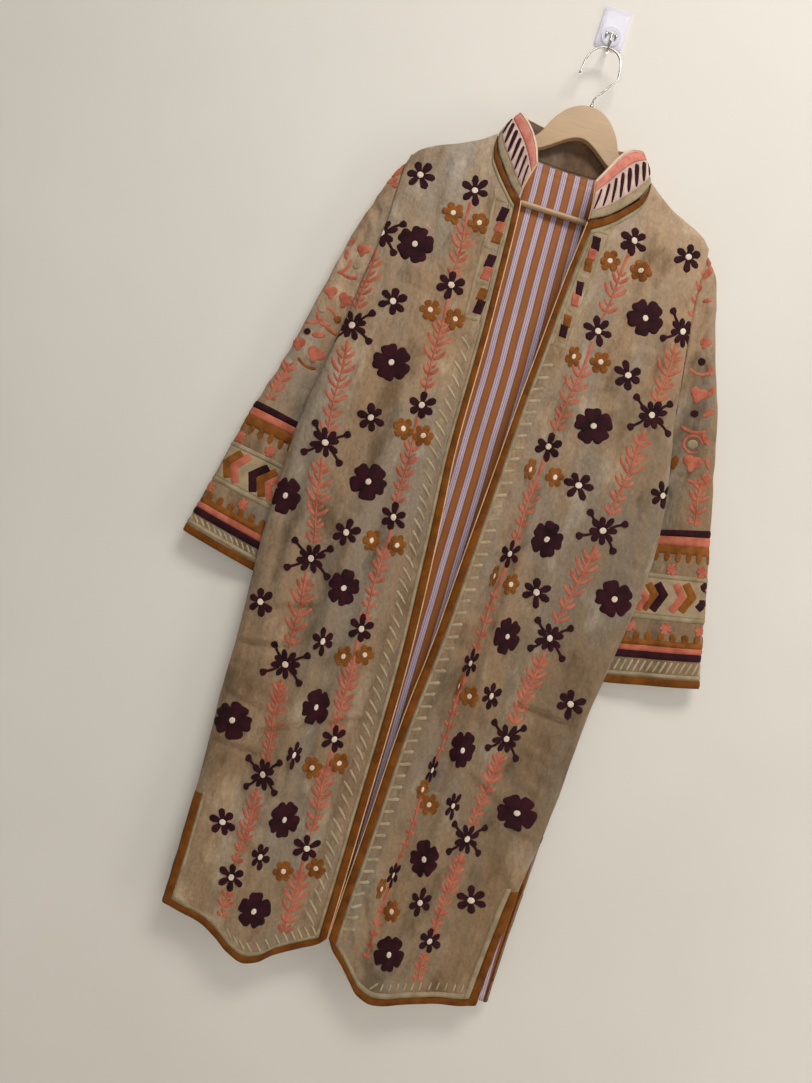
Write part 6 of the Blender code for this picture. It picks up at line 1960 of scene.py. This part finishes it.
# ------------------------------------------------------------------ the collar
def make_collar():
    P = collar_grid()
    N = normals(P, False)
    if N[3, 1, 1] > 0:
        N = -N
    ku, kv = spread(P, 0), spread(P, 1)
    H = kv[-1]
    tu = places(ku, 1.7)
    tv = places(kv, 2.0, [H * f for f in (0.19, 0.205, 0.705, 0.72, 0.925, 0.94)])
    D = resample(resample(P, 0, ku, tu), 1, kv, tv)
    M = unit(resample(resample(N, 0, ku, tu), 1, kv, tv))
    U, V = np.meshgrid(tu, tv, indexing="ij")
    D = D + M * (0.35 * np.sin(U / 13.0 + V / 17.0) * np.sin(V / 11.0) * ease(V / 8.0))[..., None]
    band = ready(shell("collar", D, D - M * COLLAR_PLY, [COLLAR_CLOTH, COLLAR_CLOTH, COLLAR_CLOTH]), "collar")
    vm = 0.5 * (tv[:-1] + tv[1:])[None, :] + np.zeros((len(tu) - 1, 1))
    uv = np.stack([U, V], axis=-1)
    pile = Pile()
    for f0, f1, colour in ((0.0, 0.19, "sage"), (0.205, 0.705, "blush"), (0.715, 0.945, "rose"), (0.955, 1.0, "cream")):
        a, b = f0 * H, f1 * H
        s = (V - a) / (b - a)
        if colour == "blush":
            # three rows of pale stitching
            s = np.mod(s * 2.999, 1.0) * 0.8 + 0.1
            s = np.where((V < a - 1e-6) | (V > b + 1e-6), -1.0, s)
        v, f, w = strip(D, M, 0.12 + 0.85 * crown(s), (vm > a) & (vm < b), uv)
        pile.add(v, f, COLOUR[colour], w)
    bands = ready(pile.make("bands_collar", THREAD_MATS))
    e = Embroidery(53)
    L = ku[-1]
    n = 15
    for side in (0, 1):
        for k in range(n):
            f = (k + 0.5) / n
            u = f * L * 0.5
            fat = float(np.interp(f, (0.0, 0.1, 0.30, 0.52, 1.0), (4.6, 6.2, 9.4, 9.8, 9.2)))
            lean = float(np.interp(f, (0.0, 0.12, 0.35, 0.6, 1.0), (4.5, 5.2, 5.4, 4.6, 3.0)))
            c = H * 0.455
            pts = [(u - lean, c - H * 0.235), (u - lean * 0.2, c - H * 0.03), (u + lean, c + H * 0.225)]
            if side:
                pts = [(L - q[0], q[1]) for q in pts]
            e.stroke(pts, fat, "purple", 1.9, widths=(fat * 0.55, fat * 0.85, fat * 1.05, fat * 0.95))
            # a cream loop of stitching between the bars
            um = u + L * 0.25 / n
            pts = [(um - lean * 0.8, c - H * 0.20), (um + lean * 0.8, c + H * 0.20)]
            if side:
                pts = [(L - q[0], q[1]) for q in pts]
            e.stroke(pts, 2.2, "cream", 1.4)
    bars = ready(e.lay_grid("bars_collar", D, M, tu, tv, THREAD_MATS))
    # plain velvet facing inside the collar
    F = D - M * (COLLAR_PLY + GAP)
    wave = 0.5 * np.sin(U / 9.0 + 0.6 * np.sin(V / 9.0)) + 0.3 * np.sin(U / 4.1 + V / 7.0)
    inside = F - M * (COLLAR_PLY + (0.8 + wave) * (ease(V / 10.0) * ease((H - V) / 10.0)))[..., None]
    facing = ready(shell("collar_facing", F, inside, [SHADED_FACING_VELVET, SHADED_FACING_VELVET, SHADED_FACING_VELVET]), "collar_facing")
    # a pale cord along the free edge and the front ends
    path = (D - M * (COLLAR_PLY + 0.15))[:, -1] + np.array((0, 0, 0.5))
    cord = Pile()
    v, f, w = tube(path, 1.0, 8)
    cord.add(v, f, 0, w)
    for i in (0, -1):
        ends = (D - M * (COLLAR_PLY + 0.15))[i, :] + unit(D[i, :] - D[1 if i == 0 else -2, :]) * 0.5
        v, f, w = tube(ends, 0.95, 8)
        cord.add(v, f, 0, w)
    cord_ob = ready(cord.make("piping_collar", [PIPING]))
    sheets["collar"] = [band, bands, bars, cord_ob]
    sheets["collar_facing"] = [facing]


# ------------------------------------------------------------------ hanger and hooks
def make_hanger():
    half = [(HANGER_CX + d, z) for d, z in HANGER]
    other = [(HANGER_CX - d, z) for d, z in HANGER[1:-1]][::-1]
    right, left = [(x, 0.0, z) for x, z in half], [(x, 0.0, z) for x, z in other]
    # smooth from notch to notch; the ends that hold the bar stay square
    cut = 20
    runs = [right[:cut + 1], right[cut:cut + 2], right[cut + 1:] + left[:len(left) - cut + 0]]
    whole = right + left
    n = len(whole)
    corners = {20, 21, n - 20, n - 21}
    loop, k = [], 0
    starts = sorted(corners)
    order = starts + [starts[0] + n]
    for a, b in zip(order, order[1:]):
        part = [whole[i % n] for i in range(a, b + 1)]
        q = smooth_path(part, 2.2) if len(part) > 2 else np.array(part)
        loop += [tuple(p) for p in q[:-1]]
    bm = bmesh.new()
    vs = [bm.verts.new((x * MM, (HANGER_Y - 0.5 * HANGER_T) * MM, z * MM)) for x, _, z in loop]
    face = bm.faces.new(vs)
    got = bmesh.ops.extrude_face_region(bm, geom=[face])
    moved = [g for g in got["geom"] if isinstance(g, bmesh.types.BMVert)]
    bmesh.ops.translate(bm, verts=moved, vec=(0, HANGER_T * MM, 0))
    bmesh.ops.recalc_face_normals(bm, faces=bm.faces[:])
    me = bpy.data.meshes.new("hanger_body")
    bm.to_mesh(me)
    bm.free()
    me.materials.append(WOOD)
    me.shade_smooth()
    ob = bpy.data.objects.new("hanger_body", me)
    bpy.context.scene.collection.objects.link(ob)
    bev = ob.modifiers.new("rounded", "BEVEL")
    bev.width, bev.segments, bev.limit_method, bev.angle_limit = 0.0036, 5, "ANGLE", math.radians(50)
    bev.harden_normals = True
    ready(ob, "hanger_body")
    x0, x1 = HANGER_CX - 172.0 + GAP, HANGER_CX + 172.0 - GAP
    pts = [(x, HANGER_Y, BAR_Z) for x in np.linspace(x0 + 4, x1 - 4, 60)]
    v, f, w = tube(pts, BAR_R, 32)
    ready(Pile().add(v, f, 0, w).make("hanger_bar", [WOOD]), "hanger_bar")
    path = smooth_path([(x, HANGER_Y, z) for x, z in HOOK], 1.4)
    r = np.full(len(path), HOOK_R)
    v, f, w = tube(path, r, 20)
    hook = Pile().add(v, f, 0, w)
    v, f, w = tube([(-26.9, HANGER_Y, -84.5), (-27.0, HANGER_Y, -85.6), (-27.1, HANGER_Y, -86.6)], 2.0, 16)
    hook.add(v, f, 0, w)
    # a small collar where the wire enters the wood
    v, f, w = tube([(2.0, HANGER_Y, -127.2), (2.0, HANGER_Y, -128.4), (2.0, HANGER_Y, -129.4)], 3.0, 20)
    hook.add(v, f, 0, w)
    ready(hook.make("hanger_hook", [STEEL]), "hanger_hook")


def make_wall_hook():
    # a plate with round corners and softened edges, slightly crowned
    def ring(w, h, r, y, n=10):
        pts = []
        for cx, cz, a0 in ((w / 2 - r, h / 2 - r, 0), (-w / 2 + r, h / 2 - r, 90), (-w / 2 + r, -h / 2 + r, 180), (w / 2 - r, -h / 2 + r, 270)):
            for k in range(n):
                a = math.radians(a0 + 90 * k / (n - 1))
                pts.append((cx + r * math.cos(a), y, cz + r * math.sin(a)))
        return np.array(pts)
    rings = [ring(PAD_W, PAD_H, 4.0, 0.0), ring(PAD_W, PAD_H, 4.0, -PAD_T + 0.9), ring(PAD_W - 0.5, PAD_H - 0.5, 3.8, -PAD_T + 0.35),
             ring(PAD_W - 1.6, PAD_H - 1.6, 3.3, -PAD_T), ring(PAD_W * 0.6, PAD_H * 0.6, 2.4, -PAD_T - 0.08), ring(PAD_W * 0.25, PAD_H * 0.25, 1.2, -PAD_T - 0.1)]
    n = len(rings[0])
    verts = np.concatenate(rings + [np.array([(0, 0, 0), (0, -PAD_T - 0.1, 0)])])
    k = np.arange(n)
    k1 = (k + 1) % n
    q = np.concatenate([np.stack([r * n + k, r * n + k1, (r + 1) * n + k1, (r + 1) * n + k], axis=-1) for r in range(len(rings) - 1)])
    m = len(rings) * n
    caps = np.concatenate([np.stack([k1, k, np.full(n, m)], axis=-1), np.stack([(len(rings) - 1) * n + k, (len(rings) - 1) * n + k1, np.full(n, m + 1)], axis=-1)])
    ready(Pile().add(verts, [q, caps]).make("wall_pad", [CLEAR]), "wall_pad")
    # the disc is turned, with a raised rim, a groove and a shallow dish
    y0 = -PAD_T - GAP
    prof = [(0.0, -DISC_T + 0.5), (6.0, -DISC_T + 0.45), (9.6, -DISC_T + 0.25), (10.6, -DISC_T), (11.4, -DISC_T + 0.1), (11.9, -DISC_T + 0.6),
            (12.4, -DISC_T + 0.1), (13.2, -DISC_T), (13.8, -DISC_T + 0.35), (DISC_R, -DISC_T + 1.0), (DISC_R, -0.2), (DISC_R - 0.3, 0.0), (0.0, 0.0)]
    sides = 72
    ang = np.linspace(0, 2 * math.pi, sides, endpoint=False)
    verts, faces, base = [(0.0, y0 + prof[0][1], DISC_Z)], [], 1
    for r, y in prof[1:-1]:
        verts += [(r * math.cos(a), y0 + y, DISC_Z + r * math.sin(a)) for a in ang]
    verts.append((0.0, y0, DISC_Z))
    tris, qs = [], []
    for s in range(sides):
        s1 = (s + 1) % sides
        tris.append((0, 1 + s, 1 + s1))
        for r in range(len(prof) - 3):
            qs.append((1 + r * sides + s, 1 + (r + 1) * sides + s, 1 + (r + 1) * sides + s1, 1 + r * sides + s1))
        last = 1 + (len(prof) - 3) * sides
        tris.append((len(verts) - 1, last + s1, last + s))
    ready(Pile().add(np.array(verts), [np.array(qs), np.array(tris)]).make("hook_disc", [CLEAR]), "hook_disc")
    path = smooth_path([(0.0, y, z) for y, z in WALL_HOOK], 1.2)
    hook = Pile()
    v, f, w = tube(path, WALL_HOOK_R, 20)
    hook.add(v, f, 0, w)
    # its bent ends show as two bright lugs through the disc
    for x in (-7.5, 6.5):
        v, f, w = tube([(x, -6.6, -10.2), (x * 0.99, -6.7, -12.6), (x * 0.97, -6.6, -15.4)], 1.5, 14)
        hook.add(v, f, 0, w)
    v, f, w = tube([(-6.8, -6.2, -10.4), (0.0, -6.4, -9.6), (6.0, -6.2, -10.4)], 0.8, 12)
    hook.add(v, f, 0, w)
    ready(hook.make("wall_hook", [STEEL]), "wall_hook")


make_front("left")
make_front("right")
make_back()
make_sleeve("left")
make_sleeve("right")
make_collar()
make_hanger()
make_wall_hook()


# ------------------------------------------------------------------ embroidery on the panels
def front_embroidery(side, seed):
    name = "front_" + side
    left = side == "left"
    sgn = 1.0 if left else -1.0
    skin = skins[name]
    e = Embroidery(seed)
    flowers, sprigs = (LEFT_FLOWERS, LEFT_SPRIGS) if left else (RIGHT_FLOWERS, RIGHT_SPRIGS)
    for row in sprigs:
        s = dict(zip(SPRIG_COLS, row))
        x0, z0 = skin.seen(s["x0"], s["z0"])
        x1, z1 = skin.seen(s["x1"], s["z1"])
        _, zl = skin.seen(s["x0"], s["leaves_from"])
        e.sprig(x0, z0, x1, z1, zl, s["half"], s["step"])
    for row in flowers:
        f = dict(zip(FLOWER_COLS, row))
        x, z = skin.seen(f["x"], f["z"])
        if f["kind"] == "coral_edged":
            e.ochre(x, z, f["narrow"], f["turn"], coral=True)
        else:
            getattr(e, f["kind"])(x, z, f["narrow"], f["turn"])
    for row in (LEFT_PLACKET if left else RIGHT_PLACKET):
        b = dict(zip(PLACKET_COLS, row))
        x, z = skin.seen(b["x"], b["z"])
        e.block(x, z, b["wide"] * 0.94, b["tall"] + 2.0, b["colour"], 0.14 * sgn, 1.4)
    # a sage frame round the placket's blocks
    edge = lambda z: float(outline(side + "_edge", z))
    top, low = (-301.0, -462.0)
    line_x = lambda z, d: edge(z) - sgn * d
    e.stroke([(line_x(z, 35.5 if left else 34.0), z) for z in np.linspace(-286 if left else -284, low, 12)], 4.4, "sage", 0.9)
    for z, thick in ((-299.0, 5.0), (-364.0, 7.5), (-412.5, 8.5), (low - 1.0, 6.5)):
        e.stroke([(line_x(z, 34.5), z), (line_x(z, 17.0), z - 0.5)], thick, "sage", 0.85)
    # ticks beside the opening
    z = -492.0
    while z > -1322:
        xe = edge(z)
        out = 4.0 * float(ease((-z - 520.0) / 320.0))
        if left:
            k = e.rng.uniform(0.85, 1.1)
            pts = [(xe - out - 18 - 16 * k, z + 1.0), (xe - out - 18 - 11 * k, z - 3.0), (xe - out - 18 - 5 * k, z - 8.0),
                   (xe - out - 17.5, z - 14.0)]
            e.stroke(pts, 3.6, "tick", 0.9, widths=(3.4, 4.0, 3.4, 2.4))
            z -= 17.0 * (1 + e.rng.uniform(-0.07, 0.07))
        else:
            k = e.rng.uniform(0.88, 1.1)
            pts = [(xe + out + 10.0, z - 4.5), (xe + out + 10.0 + 8 * k, z - 1.8), (xe + out + 10.0 + 15.5 * k, z + 1.5)]
            e.stroke(pts, 4.4, "tick", 0.9, widths=(3.8, 4.4, 4.8))
            z -= 17.0 * (1 + e.rng.uniform(-0.06, 0.06))
    # ticks above the hem, which lean towards the point
    D, M, tu, tv, kv = skins[name + "_grid"]
    n = 20
    for k in range(n):
        i = int((0.09 + 0.83 * k / (n - 1)) * (len(tu) - 1))
        j = len(tv) - 1
        x = D[i, j, 0]
        share = i / (len(tu) - 1)
        if (left and share < 0.40) or (not left and share > 0.64):
            continue
        z_low = D[i, j, 2] + (16.5 if left else 19.5)
        lean = -5.5 if left else (4.5 if share > 0.6 else 0.3)
        e.stroke([(x - lean, z_low), (x + lean, z_low + 12.0)], 2.8, "tick", 0.85)
    side_x = side + "_side"

    def clamp(z):
        xs = float(outline(side_x, z))
        return (xs + 0.5, 400.0) if left else (-400.0, xs - 0.5)
    ob = ready(e.lay("embroidery_" + name, [skin], THREAD_MATS, clamp))
    sheets[name].append(ob)


def back_embroidery(seed):
    """The same garden on the back: the fronts' columns, calmer and even."""
    skin = skins["back"]
    e = Embroidery(seed, light=True)
    columns = [(-196, "burst", 0), (-150, "big", 1), (-104, "six", 0), (-58, "burst", 1), (0, "big", 0),
               (58, "burst", 1), (104, "six", 0), (150, "big", 1), (196, "burst", 0)]
    top = {-196: -330, -150: -300, -104: -300, -58: -300, 0: -318, 58: -300, 104: -300, 150: -300, 196: -330}
    for cx, kind, odd in columns:
        z = top[cx] - 40.0 * odd
        k = 0
        while z > -1325:
            x = cx * (1 + 0.10 * ease((-z - 300) / 500.0) if abs(cx) > 120 else 1.0) + e.rng.uniform(-2, 2)
            turn = e.rng.uniform(0, 60)
            if kind == "big" and k % 2:
                e.six(x, z, 1.0, turn)
            elif kind == "burst":
                e.burst(x, z, 0.98, turn * 0.1)
            elif kind == "six" and k % 2:
                e.ochre(x - 17, z + 6, 1.0, turn)
                e.ochre(x + 17, z - 4, 1.0, turn + 20)
            else:
                getattr(e, kind)(x, z, 1.0, turn)
            if z - 76 > -1325:
                e.sprig(x, z - 20, x + e.rng.uniform(-2, 2), z - 66, z - 30, 13, 14.0)
            z -= 86.0 + e.rng.uniform(-3, 3)
            k += 1
    n = 50
    for k in range(n):
        x = -208 + 418 * k / (n - 1)
        lean = -3.5 if x < 0 else 3.5
        hem = back_hem(x)
        e.stroke([(x - lean, hem + 19.5), (x + lean, hem + 31.0)], 2.8, "tick", 0.85)

    def clamp(z):
        return float(outline("back_left", z)) + 0.5, float(outline("back_right", z)) - 0.5
    ob = ready(e.lay("embroidery_back", [skin], THREAD_MATS, clamp))
    sheets["back"].append(ob)


def sleeve_embroidery(side, seed):
    name = "sleeve_" + side
    e = Embroidery(seed)
    skin = skins[name]
    for row in (SLEEVE_LEFT_MARKS if side == "left" else SLEEVE_RIGHT_MARKS):
        m = dict(zip(BLOB_COLS, row))
        x, z = skin.seen(m["x"], m["z"], -35.0)
        e.mark(m["kind"], x, z, m["size"], m["colour"], m["turn"])
    for row in SLEEVE_SPRIGS[side]:
        s = dict(zip(SPRIG_COLS, row))
        x0, z0 = skin.seen(s["x0"], s["z0"], -35.0)
        x1, z1 = skin.seen(s["x1"], s["z1"], -35.0)
        e.sprig(x0, z0, x1, z1, z0 - 3.0, s["half"], s["step"])
    # the chevron row between the sage lines
    for colour, width, a, b, c in CHEVRONS[side]:
        pts = [skin.seen(*p, -20.0) for p in (a, b, c)]
        e.stroke(pts, width, colour, 1.4, blunt=True)
    front = ready(e.lay("embroidery_" + name, [skin], THREAD_MATS))
    back = ready(e.lay("embroidery_back_" + name, [skins[name + "_back"]], THREAD_MATS))
    sheets[name] += [front, back]


front_embroidery("left", 11)
front_embroidery("right", 12)
back_embroidery(13)
sleeve_embroidery("left", 14)
sleeve_embroidery("right", 15)


# ------------------------------------------------------------------ how the cloth was cut and what each piece hangs on, only listed here
def cloth(name, flat, held, rests_on, area=None):
    if area:
        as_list(rests_on)
    else:
        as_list(rests_on)


cloth("front_left", (0.245, 1.20), "hung", ["hanger_body"])
cloth("front_right", (0.250, 1.20), "hung", ["hanger_body"])
cloth("back", (0.49, 1.16), "hung", ["hanger_body"])
cloth("sleeve_left", (0.33, 0.50), "hung", ["front_left"], area=0.135)
cloth("sleeve_right", (0.33, 0.50), "hung", ["front_right"], area=0.135)
cloth("collar", (0.37, 0.055), "hung", ["front_left", "front_right", "back"])
cloth("collar_facing", (0.37, 0.052), "hung", ["collar"])
cloth("lining_back", (0.47, 1.13), "hung", ["back"])


# ------------------------------------------------------------------ stage, light, camera
def stage_plane(name, corners, mat):
    me = bpy.data.meshes.new(name)
    me.from_pydata(corners, [], [(0, 1, 2, 3)])
    me.materials.append(mat)
    ob = bpy.data.objects.new(name, me)
    bpy.context.scene.collection.objects.link(ob)
    return ob


def plaster(name, pale, deep):
    s = Shader(name, rough=0.9, Specular_IOR_Level=0.2)
    base = s.ramp(s.noise(1.4, (1, 1, 1), 3.0), [(0.3, deep), (0.7, pale)])
    n = s.bump(s.noise(90.0, (1, 1, 1), 4.0), 0.08, 0.001)
    s.finish(base, n)
    # seen from behind, the wall lets the robe's back show
    geo = s.add("NewGeometry")
    clear = s.add("BsdfTransparent")
    mix = s.add("MixShader")
    s.join(geo.outputs["Backfacing"], mix.inputs[0])
    s.join(s.bsdf.outputs[0], mix.inputs[1])
    s.join(clear.outputs[0], mix.inputs[2])
    s.join(mix.outputs[0], s.out.inputs["Surface"])
    return s.m


WALL = plaster("pale plaster", lin((222, 218, 210)), lin((213, 208, 199)))
FLOOR = plaster("pale floor", lin((214, 208, 198)), lin((204, 198, 188)))
wall = stage_plane("wall", [(-3.2, 0.0006, -1.74), (3.2, 0.0006, -1.74), (3.2, 0.0006, 2.2), (-3.2, 0.0006, 2.2)], WALL)
floor = stage_plane("floor", [(-3.2, -3.4, -1.74), (3.2, -3.4, -1.74), (3.2, 3.0, -1.74), (-3.2, 3.0, -1.74)], FLOOR)


def area_light(name, place, aim, size, watts, colour=(1, 1, 1)):
    data = bpy.data.lights.new(name, "AREA")
    data.shape = "RECTANGLE"
    data.size, data.size_y = size
    data.energy = watts
    data.color = colour
    ob = bpy.data.objects.new(name, data)
    ob.location = place
    ob.rotation_euler = (Vector(aim) - Vector(place)).to_track_quat("-Z", "Y").to_euler()
    bpy.context.scene.collection.objects.link(ob)
    return ob


area_light("key", (0.36, -1.35, 1.15), (0.0, -0.03, -0.85), (1.1, 0.6), 33.5, (1.0, 0.975, 0.93))
area_light("right", (1.75, -0.85, -0.75), (0.9, 0.0, -0.85), (0.5, 1.5), 9.5, (1.0, 0.975, 0.93))
area_light("front fill", (0.1, -2.4, -1.0), (0.0, -0.03, -0.9), (1.8, 1.4), 9.0, (0.98, 0.98, 1.0))
behind = area_light("behind", (0.5, 1.8, 0.4), (0.0, 0.0, -0.75), (1.6, 1.2), 34.0, (1.0, 0.98, 0.95))
# the wall throws no shadow of this light, so that the robe's back is lit in views from behind
not_in_way = bpy.data.collections.new("not in the way of the light behind")
not_in_way.objects.link(wall)
behind.light_linking.blocker_collection = not_in_way
for held in not_in_way.collection_objects:
    held.light_linking.link_state = "EXCLUDE"

world = bpy.data.worlds.new("pale room")
bpy.context.scene.world = world
world.use_nodes = True
world.node_tree.nodes["Background"].inputs[0].default_value = (0.93, 0.92, 0.90, 1.0)
world.node_tree.nodes["Background"].inputs[1].default_value = 0.30

cam_data = bpy.data.cameras.new("camera")
cam_data.lens = 27.0
cam_data.sensor_width = 36.0
cam_data.sensor_fit = "AUTO"
cam = bpy.data.objects.new("camera", cam_data)
bpy.context.scene.collection.objects.link(cam)
tilt = math.radians(17.5)
right, up = Vector((math.cos(tilt), 0, math.sin(tilt))), Vector((-math.sin(tilt), 0, math.cos(tilt)))
turn = Matrix((right, up, Vector((0, -1, 0)))).transposed()
cam.matrix_world = Matrix.Translation(Vector(PHOTO_EYE * MM)) @ turn.to_4x4()
bpy.context.scene.camera = cam
bpy.context.scene.view_settings.view_transform = "Standard"
